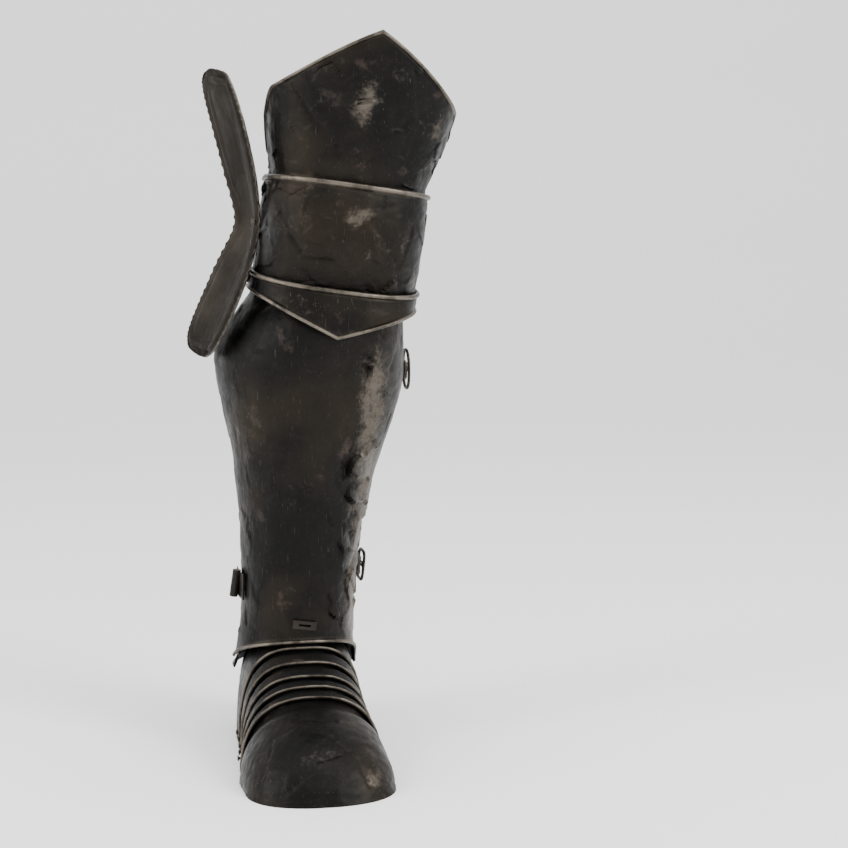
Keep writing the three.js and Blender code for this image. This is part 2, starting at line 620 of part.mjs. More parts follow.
// Edges between the foot plates. Columns: place at the sole, place on the instep
const EDGES = [[0.026, 0.13], [0.149, 0.28], [0.246, 0.36], [0.342, 0.43], [0.43, 0.485], [0.509, 0.54]];
const LAP_SHARE = LAP / TOE_REACH;
const FOOT_LAYER = LAYER + 0.8; // the lap lies this far under the full form
const LAP_PART = 0.2; // share of v that a foot plate spends in its hidden lap
const PLATE_RISE = 7; // over this length a foot plate rises from its hidden lap to the full form
const LAP_CLEAR = 2.0; // the rise starts this far in front of the plate above

// The surface of a foot plate from its rear edge to its front edge, with the lap behind the rear edge
function footPlate(rear, front, lap, swing = (share) => share) {
  return (u, v) => {
    const hidden = lap ? clamp(v / LAP_PART, 0, 1) : 1;
    const shown = lap ? clamp((v - LAP_PART) / (1 - LAP_PART), 0, 1) : v;
    const soleAt = THREE.MathUtils.lerp(rear[0], front[0], shown) - lap * (1 - hidden);
    const topAt = THREE.MathUtils.lerp(rear[1], front[1], swing(shown)) - lap * (1 - hidden);
    const past = shown * (front[0] - rear[0]) * TOE_REACH;
    const rise = THREE.MathUtils.smoothstep(past, LAP_CLEAR, LAP_CLEAR + PLATE_RISE);
    return footPoint(-u, soleAt, topAt, lap ? FOOT_LAYER * (1 - rise) : 0);
  };
}

function footRows(rear, front, lap, count, bead) {
  const span = (front[0] - rear[0]) * TOE_REACH;
  const stages = [LAP_CLEAR, LAP_CLEAR + PLATE_RISE];
  const shown = lap ? stages.map((past) => past / span) : [0];
  const start = shown[shown.length - 1];
  for (let i = 1; i <= count; i += 1) shown.push(start + ((1 - start) * i) / count);
  if (bead) shown.pop();
  const rows = shown.map((share) => {
    const v = lap ? LAP_PART + (1 - LAP_PART) * share : share;
    return { at: () => v, rise: 0 };
  });
  if (lap) rows.unshift({ at: () => 0, rise: 0 });
  if (bead) {
    rows.push({ at: (w) => 1 - (2.4 * bead) / w, rise: 0 });
    const profile = BEAD_PROFILE.slice(0, 2).reverse();
    profile.forEach(([d, h]) => rows.push({ at: (w) => 1 - (d * bead) / w, rise: h * bead }));
  }
  return rows;
}
const footUs = spread(-1, 1, 12);
function footPin(edge) {
  return { y: -TOE_REACH * edge[0] + LAP * 0.64, z: 12 };
}
const FOOT_PIN = 1.6;
const FOOT_HEAD = 2.7;
const pinHoles = EDGES.slice(1).map((edge) => {
  const { y, z } = footPin(edge);
  return rod(FOOT_PIN + REST_GAP, -FOOT_WIDTH, FOOT_WIDTH, y, z, 6);
});
const plates = ['ankle_lame', 'foot_lame_1', 'foot_lame_2', 'foot_lame_3', 'foot_lame_4'];
plates.forEach((name, index) => {
  const surface = footPlate(EDGES[index], EDGES[index + 1], index ? LAP_SHARE : 0);
  const shape = sheet({
    surface,
    us: footUs,
    rows: footRows(EDGES[index], EDGES[index + 1], index > 0, index ? 1 : 4, BEAD * 0.55),
    width: (u) => surface(u, 0).distanceTo(surface(u, 1)),
    thickness: PLATE,
    floor: 0,
  });
  const holes = index ? [pinHoles[index - 1], pinHoles[index]] : [pinHoles[0]];
  add(part, name, drilled(shape, holes), blackSteel);
});

// Toe cap: its sections swing down from the last edge onto the floor round the toe
const TOE_SOLE = 0.78;
const toeRear = EDGES[EDGES.length - 1];
const toeFront = [TOE_SOLE, 1];
const toeShape = sheet({
  surface: footPlate(toeRear, toeFront, LAP_SHARE, (share) => Math.sin((share * Math.PI) / 2)),
  us: footUs,
  rows: footRows(toeRear, toeFront, true, 7, 0),
  width: () => 1,
  thickness: PLATE,
  floor: 0,
});
add(part, 'toe_cap', drilled(toeShape, [pinHoles[pinHoles.length - 1]]), blackSteel);

// Heel plate: round the heel, its front edges under the ankle lame
const HEEL_TOP = 84;
function heelSurface(u, v) {
  const z = v * HEEL_TOP;
  const share = Math.abs(u);
  const angle = (Math.min(share / 0.84, 1) * Math.PI) / 2;
  const forward = TOE_REACH * THREE.MathUtils.lerp(EDGES[0][0], EDGES[0][1], z / INSTEP) + LAP;
  const ahead = clamp((share - 0.84) / 0.16, 0, 1) * forward;
  const half = (FOOT_WIDTH / 2) * SOLE_ROWS[0][1] * arch(z / INSTEP, SOLE_ROWS[0][2]) - LAYER - REST_GAP;
  const rear = HEEL_BACK - 14 * Math.pow(v, 1.2);
  const x = Math.sign(u) * half * Math.pow(Math.sin(angle), 2 / 2.3);
  return new THREE.Vector3(x, rear * Math.pow(Math.cos(angle), 2 / 2.3) - ahead, z);
}
const heelShape = sheet({
  surface: (u, v) => heelSurface(-u, v),
  us: spread(-1, 1, 16),
  rows: bandRows(3, { start: BEAD * 0.7 }),
  width: () => HEEL_TOP,
  thickness: PLATE,
  fade: (u) => 1 - THREE.MathUtils.smoothstep(Math.abs(u), 0.7, 0.8),
  floor: 0,
});
add(part, 'heel_plate', heelShape, blackSteel);

// Foot pivots
EDGES.slice(1).forEach((edge, index) => {
  const { y, z } = footPin(edge);
  const wall = footPoint(1, edge[0], edge[1], 0).x;
  [-1, 1].forEach((side) => {
    const label = side < 0 ? 'outer' : 'inner';
    const tail = side * (wall - FOOT_LAYER - PLATE - 2.8);
    const shape = rivet(side * (wall + 1.3), tail, y, z, FOOT_PIN, FOOT_HEAD, 5);
    add(part, `foot_pivot_${index + 1}_${label}`, shape, fittings);
  });
});

// The origin lies under the middle of the whole, on the floor
const bounds = new THREE.Box3().setFromObject(part, true);
const middle = bounds.getCenter(new THREE.Vector3());
part.children.forEach((child) => child.position.sub(new THREE.Vector3(middle.x, middle.y, bounds.min.z)));

export default part;
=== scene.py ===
"""Looks of a right lower leg's armour: blackened steel, worn bright along its rims, on its CAD frame."""
import math

import bmesh
import bpy
import numpy as np
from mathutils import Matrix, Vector


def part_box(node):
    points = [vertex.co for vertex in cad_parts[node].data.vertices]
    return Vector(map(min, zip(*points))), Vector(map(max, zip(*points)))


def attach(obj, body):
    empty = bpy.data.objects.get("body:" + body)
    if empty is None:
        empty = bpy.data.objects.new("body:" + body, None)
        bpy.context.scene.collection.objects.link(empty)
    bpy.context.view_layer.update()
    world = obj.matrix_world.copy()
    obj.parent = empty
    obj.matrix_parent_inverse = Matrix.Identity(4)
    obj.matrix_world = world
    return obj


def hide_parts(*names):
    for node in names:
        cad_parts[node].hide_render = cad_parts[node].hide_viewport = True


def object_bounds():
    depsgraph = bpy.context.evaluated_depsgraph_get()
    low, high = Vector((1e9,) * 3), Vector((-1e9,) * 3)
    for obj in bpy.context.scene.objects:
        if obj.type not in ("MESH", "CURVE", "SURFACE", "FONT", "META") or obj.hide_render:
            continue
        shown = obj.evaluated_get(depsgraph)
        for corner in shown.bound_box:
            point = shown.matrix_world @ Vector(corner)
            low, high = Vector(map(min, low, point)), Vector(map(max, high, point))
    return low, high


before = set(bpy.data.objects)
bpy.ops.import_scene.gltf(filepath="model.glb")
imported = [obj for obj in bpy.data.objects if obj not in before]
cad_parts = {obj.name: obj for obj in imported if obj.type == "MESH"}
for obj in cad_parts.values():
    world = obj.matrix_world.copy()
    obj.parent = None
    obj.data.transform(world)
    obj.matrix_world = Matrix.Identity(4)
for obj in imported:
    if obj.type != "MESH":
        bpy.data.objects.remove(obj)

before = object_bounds()
MM = 0.001

# Driving sizes, in millimetres
PLATE = 1.6
SLIP = 1.2
REST_GAP = 0.3
LAYER = PLATE + SLIP
BEAD = 2.2
KNEE_HEIGHT = 490
KNEE_INWARD = 44
KNEE_FORWARD = 32
LEAN_INWARD = math.radians(8)
LEAN_FORWARD = math.radians(3)
KNEE_WIDTH = 152
COP_HALF = KNEE_WIDTH / 2
COP_DEPTH = 81
PIVOT_BACK = 8
LOW_PIVOT = -56
HIGH_PIVOT = 28
LOW_RADIUS = 65
HIGH_RADIUS = 72
TOP_RISE = 185
THIGH_WIDTH = 176
SHIN = 400
CALF_WIDTH = 182
CALF_DEPTH = 180
RIM_FLARE = 2.2
RIM_TURN = 12
RIM_FRONT = 105
RIM_SIDE = 70
FOOT_LENGTH = 290
HEEL_BACK = 62
FOOT_WIDTH = 138
INSTEP = 108
LAP = 9
WING_UP = 138
WING_DOWN = 127
WING_CHORD = 92
WING_PLATE = 2.0
WING_FLARE_UP = 46
WING_FLARE_DOWN = 30
STRAP_WIDTH = 17
KNEE_STRAP_WIDTH = 28
LEATHER = 2.4
TOE_REACH = FOOT_LENGTH - HEEL_BACK
# Points taken at one time where distances are measured
CHUNK = 4096
# Half the step over which a surface's direction is measured
STEP = 1e-4

# The ankle's place in the frame, from the toe cap
toe_low, toe_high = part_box("toe_cap")
ANKLE = np.array([(toe_low.x + toe_high.x) / 2 / MM, toe_low.y / MM + TOE_REACH, 0])


def turned(x_angle, y_angle):
    cx, sx, cy, sy = math.cos(x_angle), math.sin(x_angle), math.cos(y_angle), math.sin(y_angle)
    about_x = np.array([[1, 0, 0], [0, cx, -sx], [0, sx, cx]])
    about_y = np.array([[cy, 0, sy], [0, 1, 0], [-sy, 0, cy]])
    return about_y @ about_x


LEG_TURN = turned(LEAN_FORWARD, LEAN_INWARD)
KNEE = ANKLE + np.array([KNEE_INWARD, -KNEE_FORWARD, KNEE_HEIGHT])


def on_leg(points):
    return points @ LEG_TURN.T + KNEE


def on_foot(points):
    return points + ANKLE


def smooth(x, low, high):
    t = np.clip((x - low) / (high - low), 0, 1)
    return t * t * (3 - 2 * t)


def through(rows, column, at):
    """A smooth value through the rows of a table, by their first column."""
    table = np.array(rows, float)
    if table[-1, 0] < table[0, 0]:
        table = table[::-1]
    keys, values = table[:, 0], table[:, column]
    slopes = np.gradient(values)
    slopes[1:-1] = (values[2:] - values[:-2]) / (keys[2:] - keys[:-2])
    slopes[0] = (values[1] - values[0]) / (keys[1] - keys[0])
    slopes[-1] = (values[-1] - values[-2]) / (keys[-1] - keys[-2])
    at = np.clip(at, keys[0], keys[-1])
    i = np.clip(np.searchsorted(keys, at, side="right") - 1, 0, len(keys) - 2)
    span = keys[i + 1] - keys[i]
    t = (at - keys[i]) / span
    rest = t * t * (3 - 2 * t)
    bend = span * t * (1 - t) * ((1 - t) * slopes[i] - t * slopes[i + 1])
    return values[i] + (values[i + 1] - values[i]) * rest + bend


def arch(share, power):
    return np.power(np.maximum(1 - np.power(np.minimum(np.abs(share), 1), power), 0), 1 / power)


def stack(x, y, z):
    return np.stack(np.broadcast_arrays(x, y, z), axis=-1).astype(float)


# Noise in space, from a few waves whose directions a fixed seed sets
def waves(seed, size, count=9):
    rng = np.random.default_rng(seed)
    directions = rng.normal(size=(count, 3))
    directions /= np.linalg.norm(directions, axis=1)[:, None]
    directions *= rng.uniform(0.6, 1.6, count)[:, None] * 2 * math.pi / size
    phases = rng.uniform(0, 2 * math.pi, count)
    return lambda p: np.sin(p @ directions.T + phases).sum(-1) / math.sqrt(count)


def facets(seed, size, region):
    """Hammered relief: the height over flat facets that meet in ridges."""
    rng = np.random.default_rng(seed)
    low, high = np.array(region, float)
    count = max(int(np.prod((high - low) / size)), 8)
    centres = rng.uniform(low, high, (min(count, 700), 3))
    tilts = rng.normal(size=(len(centres), 3)) * 0.16

    def height(p):
        flat = p.reshape(-1, 3)
        out = np.empty(len(flat))
        for start in range(0, len(flat), CHUNK):
            some = flat[start : start + CHUNK]
            away = some[:, None, :] - centres[None]
            far = (away**2).sum(-1)
            near = far.argmin(1)
            rows = np.arange(len(some))
            out[start : start + CHUNK] = (away[rows, near] * tilts[near]).sum(-1)
        return out.reshape(p.shape[:-1])

    return height


# Creases: lines on the plate as seen from the front, each with a width and a depth
def to_line(p, points):
    """The distance from the points' x and z to a line through some places, and which side they lie on."""
    best = np.full(p.shape[:-1], 1e9)
    side = np.zeros(p.shape[:-1])
    for (ax, az), (bx, bz) in zip(points, points[1:]):
        dx, dz = bx - ax, bz - az
        px, pz = p[..., 0] - ax, p[..., 2] - az
        t = np.clip((px * dx + pz * dz) / (dx * dx + dz * dz), 0, 1)
        away = np.hypot(px - t * dx, pz - t * dz)
        nearer = away < best
        best = np.where(nearer, away, best)
        side = np.where(nearer, np.sign(px * dz - pz * dx), side)
    return best, side


def crease(p, points, width, depth):
    away, side = to_line(p, points)
    step = np.exp(-away / width) * side * 0.5
    return depth * (step - np.exp(-((away / (width * 0.35)) ** 2)) * 0.6)


def patch(p, x, z, rx, rz, turn=0.0):
    """A soft oval spot on the front: 1 in its middle."""
    c, s = math.cos(turn), math.sin(turn)
    dx, dz = p[..., 0] - x, p[..., 2] - z
    a, b = (dx * c + dz * s) / rx, (dz * c - dx * s) / rz
    return np.exp(-(a * a + b * b) * 1.4)


# Sheets
def band(count, start=0.0, end=0.0, turned_edge=0.0, bead_rows=8, groove=0.35):
    """Rows over a band of plate: (millimetres from the start, share of the width, rise, rim)."""
    rows = []
    low_end = turned_edge or start * 2.6
    high_end = end * 2.6
    angles = np.linspace(0, math.pi, bead_rows)
    profile = [(1 - math.cos(t), math.sin(t) * 0.95, 1.0) for t in angles]
    profile.append((2.3, -groove, 0.2))
    if start:
        rows += [(d * start, 0, h * start, w) for d, h, w in profile]
    first = 1 if start else 0
    if start and turned_edge:
        rows += [(2.3 * start + (turned_edge - 2.3 * start) * s, 0, 0, 0) for s in (0.3, 0.65)]
    stop = count - 1 if end else count
    for i in range(first, stop + 1):
        share = i / count
        rows.append((low_end - share * (low_end + high_end), share, 0, 0))
    if end:
        rows += [(-d * end, 1, h * end, w) for d, h, w in reversed(profile)]
    return np.array(rows)


def build(name, points, quads, attributes, smooth_angle=40):
    mesh = bpy.data.meshes.new(name)
    mesh.from_pydata([tuple(p) for p in points], [], [tuple(q) for q in quads])
    mesh.update()
    for key, values in attributes.items():
        layer = mesh.attributes.new(key, "FLOAT", "POINT")
        layer.data.foreach_set("value", np.ascontiguousarray(values, np.float32))
    mesh.shade_smooth()
    obj = bpy.data.objects.new(name, mesh)
    bpy.context.scene.collection.objects.link(obj)
    bpy.context.view_layer.objects.active = obj
    obj.select_set(True)
    bpy.ops.object.shade_smooth_by_angle(angle=math.radians(smooth_angle), keep_sharp_edges=True)
    for modifier in list(obj.modifiers):
        obj.modifiers.remove(modifier)
    obj.select_set(False)
    return obj


def face_out(points, quads):
    tri = np.array(quads)
    a, b, c, d = (points[tri[:, k]] for k in range(4))
    volume = (a * np.cross(b, c)).sum() + (a * np.cross(c, d)).sum()
    return quads if volume > 0 else [q[::-1] for q in quads]


def shell(name, surface, us, rows, thickness, place, relief=None, worn=None, fade=None, floor=None):
    """A closed plate: surface(u, v) is its outer face before the beads and the relief."""
    u = us[:, None]
    edge_low, edge_high = surface(us, np.zeros_like(us)), surface(us, np.ones_like(us))
    if rows.shape[1] == 1:
        v = np.broadcast_to(rows[:, 0][None], (len(us), len(rows)))
        rise = rim = np.zeros_like(v)
    else:
        middle = surface(us, np.full_like(us, 0.5))
        width = np.linalg.norm(middle - edge_low, axis=-1) + np.linalg.norm(edge_high - middle, axis=-1)
        width = np.maximum(width, 1)[:, None]
        v = np.clip((rows[:, 0][None] + rows[:, 1][None] * width) / width, 0, 1)
        rise = np.broadcast_to(rows[:, 2][None], v.shape).copy()
        rim = np.broadcast_to(rows[:, 3][None], v.shape).copy()
    uu = np.broadcast_to(u, v.shape)
    if fade is not None:
        rise, rim = rise * fade(uu), rim * fade(uu)
    points = surface(uu, v)
    low, high = np.maximum(v - STEP, 0), np.minimum(v + STEP, 1)
    left, right = np.maximum(uu - STEP, us.min()), np.minimum(uu + STEP, us.max())
    normal = np.cross(surface(right, v) - surface(left, v), surface(uu, high) - surface(uu, low))
    length = np.linalg.norm(normal, axis=-1, keepdims=True)
    normal = normal / np.maximum(length, 1e-12)
    inset = np.minimum(v, 1 - v)
    calm = smooth(inset, 0.0, 0.07) if rows.shape[1] > 1 else np.ones_like(v)
    lift = relief(points, uu, v) * calm if relief else np.zeros_like(v)
    outer = points + normal * (rise + lift)[..., None]
    inner = points - normal * (thickness - lift)[..., None]
    if floor is not None:
        outer[..., 2] = np.maximum(outer[..., 2], floor)
        inner[..., 2] = np.maximum(inner[..., 2], floor)
    columns, count = v.shape
    index = np.arange(columns * count).reshape(columns, count)
    under = index + columns * count
    quads = []
    for grid, order in ((index, (0, 1, 2, 3)), (under, (0, 3, 2, 1))):
        corners = grid[:-1, :-1], grid[1:, :-1], grid[1:, 1:], grid[:-1, 1:]
        quads += np.stack([corners[k] for k in order], -1).reshape(-1, 4).tolist()
    ring_out = np.concatenate([index[:, 0], index[-1, 1:], index[-2::-1, -1], index[0, -2:0:-1]])
    ring_in = ring_out + columns * count
    following = np.roll(ring_out, -1), np.roll(ring_in, -1)
    quads += np.stack([ring_out, ring_in, following[1], following[0]], -1).tolist()
    every = np.concatenate([outer.reshape(-1, 3), inner.reshape(-1, 3)])
    quads = face_out(every, quads)
    wear = worn(points, uu, v) if worn else np.zeros_like(v)
    none = np.zeros(v.size)
    attributes = {
        "rim": np.concatenate([rim.ravel(), rim.ravel() * 0.3]),
        "worn": np.concatenate([np.clip(wear, 0, 1).ravel(), none]),
        # Marks the inner faces; the steel darkens them towards near black as painted shade
        "inside": np.concatenate([none, none + 1]),
    }
    return build(name, place(every) * MM, quads, attributes)


# Knee plates
KNEE_POWER = 2.6
HALF_TURN = 0.8
KNEE_COLUMNS = np.linspace(-1, 1, 141)


def knee_form(half, depth, rear, hub):
    def form(u, z):
        share, side = np.abs(u), np.sign(u)
        quarter = np.minimum(share / HALF_TURN, 1) * math.pi / 2
        reach = np.power(np.maximum(np.cos(quarter), 0), 2 / KNEE_POWER)
        behind = np.clip((share - HALF_TURN) / (1 - HALF_TURN), 0, 1)
        out, offset = depth(z), z - hub(z)
        radius = np.hypot(out, offset)
        back = np.where(behind > 0, behind * rear(z), -out * reach)
        x = half(z) * arch(np.hypot(back, offset) / radius, KNEE_POWER)
        return stack(side * x, PIVOT_BACK + back, z)

    return form


def knee_surface(form, low, high):
    def surface(u, v):
        s = np.abs(u)
        return form(u, low(s) + (high(s) - low(s)) * v)

    return surface


def rounded(radius, rise):
    return np.sqrt(np.maximum(radius * radius - rise * rise, 0))


COP_LOW = LOW_PIVOT - 17
COP_HIGH = 48
COP_FRONT = [
    (LOW_PIVOT, LOW_RADIUS / COP_DEPTH), (-47, 0.815), (-30, 0.925), (-6, 1), (16, 0.995), (34, 0.965),
    (COP_HIGH, float(rounded(HIGH_RADIUS + LAYER + 2 * REST_GAP, COP_HIGH - HIGH_PIVOT)) / COP_DEPTH),
]


def cop_depth(z):
    return np.where(z < LOW_PIVOT, rounded(LOW_RADIUS, z - LOW_PIVOT), COP_DEPTH * through(COP_FRONT, 1, z))


cop_form = knee_form(
    lambda z: COP_HALF + 0 * z,
    cop_depth,
    lambda z: 12 + 10 * np.cos((z - 2) / 60 * math.pi / 2),
    lambda z: np.clip(z, LOW_PIVOT, HIGH_PIVOT),
)

TOP_HALF_LOW = COP_HALF - LAYER
TOP_ROWS = [
    (COP_HIGH, 0, TOP_HALF_LOW / (THIGH_WIDTH / 2)),
    (85, 0.03, 0.93), (120, 0.055, 1), (155, 0.075, 0.99), (TOP_RISE, 0.085, 0.97),
]
TOP_CORNER = 120
TOP_SHOULDER = 0.64


def top_depth(z):
    start = float(rounded(HIGH_RADIUS, COP_HIGH - HIGH_PIVOT))
    above = start + TOP_RISE * through(TOP_ROWS, 1, z)
    return np.where(z < COP_HIGH, rounded(HIGH_RADIUS, z - HIGH_PIVOT), above)


def top_hub(z):
    above = z - (COP_HIGH - HIGH_PIVOT) * (1 - smooth(z, COP_HIGH, 100))
    return np.where(z < COP_HIGH, np.clip(z, 0, HIGH_PIVOT), above)


top_form = knee_form(
    lambda z: THIGH_WIDTH / 2 * through(TOP_ROWS, 2, z),
    top_depth,
    lambda z: 10 + 14 * smooth(z, 20, 52),
    top_hub,
)


def front_share(s):
    return np.power(np.sin(np.minimum(s / HALF_TURN, 1) * math.pi / 2), 2 / KNEE_POWER)


def top_rim(s):
    front = front_share(s)
    slope = TOP_RISE - (TOP_RISE - TOP_CORNER) * (0.35 * front * front + 0.65 * front)
    drop = np.power(np.clip((s - TOP_SHOULDER) / (1 - TOP_SHOULDER), 0, 1), 1.4)
    return slope - (TOP_CORNER - COP_HIGH) * drop


LAME_HALF = COP_HALF + LAYER
LAME_TOP = LOW_PIVOT + 7
LAME_POINT = LOW_PIVOT - 39
LAME_ROWS = [(LAME_POINT, 8, 5), (-82, 7.8, 2.5), (-71, 7, 0.6), (-62, 5.2, 0), (LAME_TOP, LAYER + 1, 0)]
lame_form = knee_form(
    lambda z: LAME_HALF + through(LAME_ROWS, 2, z),
    lambda z: LOW_RADIUS + through(LAME_ROWS, 1, z),
    lambda z: 11 + 0 * z,
    lambda z: np.maximum(z, LOW_PIVOT),
)

dents = waves(3, 34)
small_dents = waves(4, 11)
hammer = facets(5, 13, ((-95, -95, -95), (95, 45, 190)))
shin_hammer = facets(6, 14, ((-100, -70, -400), (100, 20, -40)))


def creased(p, *marks):
    return sum(crease(p, *mark) for mark in marks)


def spots(p, ground, *ovals):
    """Wear that is greatest in some ovals, each with a strength and a patch, over an even ground."""
    return np.maximum.reduce([share * patch(p, *oval) for share, *oval in ovals] + [ground + 0 * p[..., 0]])


def cop_relief(p, u, v):
    lines = creased(p, ([(-62, 0), (-40, -24), (-14, -24)], 7, 1.5),
                    ([(-20, 0), (12, -34), (24, -52)], 8, 1.8), ([(18, 10), (44, -18), (50, -40)], 8, 1.4),
                    ([(-60, 30), (-20, 14), (30, 30)], 10, 0.8))
    return 0.25 * dents(p) + 0.12 * small_dents(p) + 0.25 * hammer(p) + lines


def cop_worn(p, u, v):
    return spots(p, 0.12, (0.9, 2, 18, 20, 12, 0.5), (0.6, 18, -12, 8, 30, -0.5), (0.5, 48, 10, 12, 30),
                 (0.35, -45, 10, 16, 22))


def top_relief(p, u, v):
    lines = creased(p, ([(-70, 125), (-50, 98), (-22, 72)], 9, 1.5),
                    ([(-26, 150), (-4, 110), (4, 70)], 8, 1.3), ([(34, 150), (46, 110), (40, 64)], 9, 1.0))
    pit = -1.8 * patch(p, -10, 112, 4, 5)
    return 0.25 * dents(p) + 0.14 * small_dents(p) + 0.3 * hammer(p) + lines + pit


def top_worn(p, u, v):
    return spots(p, 0.1, (0.95, -6, 118, 16, 26, -0.4), (0.6, 66, 105, 14, 26), (0.4, 20, 150, 30, 14, -0.5))


def lame_relief(p, u, v):
    return 0.2 * dents(p) + 0.1 * small_dents(p)


def lame_worn(p, u, v):
    return 0.2 + 0.3 * patch(p, -40, -70, 30, 14)


def made(name, obj, body, nodes):
    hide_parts(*nodes)
    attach(obj, body)
    return obj


PIECES = {}


def plate(name, body, surface, slot="black_steel", thickness=PLATE, place=on_leg, **words):
    obj = shell("look_" + name, surface, thickness=thickness, place=place, **words)
    made(name, obj, body, [name])
    PIECES[name] = obj
    return obj


plate("knee_cop", "knee_cop",
      knee_surface(cop_form, lambda s: COP_LOW + 9 * s * s, lambda s: COP_HIGH - 10 * s * s),
      us=KNEE_COLUMNS, rows=band(80, end=BEAD), relief=cop_relief, worn=cop_worn)
plate("top_plate", "top_plate", knee_surface(top_form, lambda s: 12 + 4 * s * s, top_rim),
      us=KNEE_COLUMNS, rows=band(90, end=BEAD * 0.8), relief=top_relief, worn=top_worn)
plate("lower_lame", "lower_lame",
      knee_surface(lame_form, lambda s: LAME_POINT + 29 * front_share(s), lambda s: LAME_TOP + 4 * s * s),
      us=KNEE_COLUMNS, rows=band(26, start=BEAD * 0.8, end=BEAD), relief=lame_relief, worn=lame_worn)

# Greave. Columns: share of the shin below the knee, centre to the inner side, centre back, half-width,
# front depth, back depth, as shares of the calf's width and depth.
RINGS = [
    (0.11, 0, 0.194, 0.396, 0.48, 0.444),
    (0.18, -0.005, 0.2, 0.408, 0.484, 0.444),
    (0.23, -0.022, 0.211, 0.445, 0.533, 0.444),
    (0.288, -0.038, 0.222, 0.484, 0.539, 0.456),
    (0.338, -0.044, 0.233, 0.505, 0.533, 0.467),
    (0.438, -0.03, 0.211, 0.462, 0.5, 0.456),
    (0.55, -0.014, 0.172, 0.39, 0.45, 0.422),
    (0.65, 0, 0.139, 0.349, 0.406, 0.367),
    (0.758, 0.016, 0.094, 0.319, 0.361, 0.328),
    (0.863, 0.041, 0.061, 0.305, 0.333, 0.317),
    (0.963, 0.058, 0.044, 0.305, 0.328, 0.317),
    (0.993, 0.062, 0.042, 0.313, 0.339, 0.322),
    (1.063, 0.077, 0.033, 0.324, 0.35, 0.333),
]
RING_POWER = 2.15
GREAVE_TOP = -0.11 * SHIN
OUTER_SEAM = math.radians(-84)
INNER_SEAM = math.radians(102)
SEAM_LAP = math.radians(6)
BACK_INSET = PLATE + 1.4


def ring(turn, z, inset):
    at = -z / SHIN
    half = CALF_WIDTH * through(RINGS, 3, at) - inset
    ahead, across = np.cos(turn), np.sin(turn)
    fore, aft = CALF_DEPTH * through(RINGS, 4, at), CALF_DEPTH * through(RINGS, 5, at)
    deep = np.where(ahead > 0, fore, aft) - inset
    bent = lambda s: np.sign(s) * np.power(np.abs(s), 2 / RING_POWER)
    return stack(CALF_WIDTH * through(RINGS, 1, at) + half * bent(across),
                 CALF_DEPTH * through(RINGS, 2, at) - deep * bent(ahead), z)


def leg_level(turn, level):
    near = ring(turn, np.full_like(turn, -SHIN), 0)
    upright = (level - KNEE_HEIGHT + near[..., 0] * math.sin(LEAN_INWARD)) / math.cos(LEAN_INWARD)
    return (upright - near[..., 1] * math.sin(LEAN_FORWARD)) / math.cos(LEAN_FORWARD)


def lower_rim(turn):
    front = np.power(np.maximum(np.cos(turn), 0), 0.45)
    return leg_level(turn, RIM_SIDE + (RIM_FRONT - RIM_SIDE) * front)


def greave_surface(start, stop, inset):
    def surface(u, v):
        turn = start + (stop - start) * (u + 1) / 2
        rim = lower_rim(turn)
        z = rim + (GREAVE_TOP - rim) * v
        flare = RIM_FLARE * np.power(np.maximum(1 - (z - rim) / RIM_TURN, 0), 2)
        return ring(turn, z, inset - flare)

    return surface


def shin_relief(p, u, v):
    strip = np.exp(-((p[..., 0] - 34 + 0.06 * (p[..., 2] + 60)) / 20) ** 2) * smooth(-p[..., 2], 70, 110)
    ridge = 1.0 * np.exp(-((p[..., 0] + 4) / 9) ** 2)
    hammered = (0.15 + 0.75 * strip) * shin_hammer(p) * 0.8
    return 0.22 * dents(p) + 0.06 * small_dents(p) + hammered + 0.3 * ridge


def shin_worn(p, u, v):
    x, z = p[..., 0], p[..., 2]
    strip = np.exp(-((x - 40 + 0.075 * (z + 60)) / 17) ** 2) * smooth(-z, 80, 130)
    outer = 0.45 * np.exp(-((x + 48 - 0.1 * (z + 250)) / 8) ** 2) * smooth(-z, 250, 300)
    return np.maximum.reduce([0.95 * strip, outer, 0.06 + 0 * x])


def calf_relief(p, u, v):
    return 0.2 * dents(p) + 0.05 * small_dents(p)


def back_fade(u):
    return 1 - smooth(np.abs(u), 0.78, 0.86)


plate("greave_front", "greave", greave_surface(OUTER_SEAM, INNER_SEAM, 0), us=np.linspace(-1, 1, 151),
      rows=band(140, start=1.5, turned_edge=RIM_TURN), relief=shin_relief, worn=shin_worn)
plate("greave_back", "greave",
      greave_surface(INNER_SEAM - SEAM_LAP, OUTER_SEAM + SEAM_LAP + 2 * math.pi, BACK_INSET),
      us=np.linspace(-1, 1, 121), rows=band(90, start=1.5, end=BEAD, turned_edge=RIM_TURN),
      relief=calf_relief, fade=back_fade)

# Side wing
WAIST_Z = -10
WING_X = COP_HALF + WING_PLATE + REST_GAP
WING_MIDDLE = 22
SPLAY = 0.3
FLUTES = 3
FINE_FLUTES = 6
WING_ARC = 0.494
INNER_RIM = 12.5


def wing_outline(q):
    lobe = np.sqrt(np.maximum(1 - np.power(np.abs(q), 8), 0))
    pinch = 1 - 0.35 * np.exp(-((q / 0.24) ** 2))
    return WING_MIDDLE + 12 * q * q + 4 * q, WING_CHORD / 2 * lobe * pinch


def wing_surface(u, v):
    across = v * 2 - 1
    across = across * (1.5 - 0.5 * across * across)
    q = np.sin(u * math.pi * WING_ARC)
    z = WAIST_Z + np.where(q > 0, q * WING_UP, q * WING_DOWN)
    middle, half = wing_outline(q)
    y = middle + across * half
    splay = SPLAY * np.maximum(y, 0) * smooth(np.abs(y - 4), 14, 44)
    flare = np.where(q > 0, WING_FLARE_UP, WING_FLARE_DOWN) * np.power(np.abs(q), 1.35)
    window = np.maximum(1 - across * across, 0) * smooth(np.abs(q), 0.12, 0.5)
    flute = 1.2 * np.cos(across * math.pi * FLUTES) * window
    return stack(-(WING_X + splay + flare + flute), y, z)


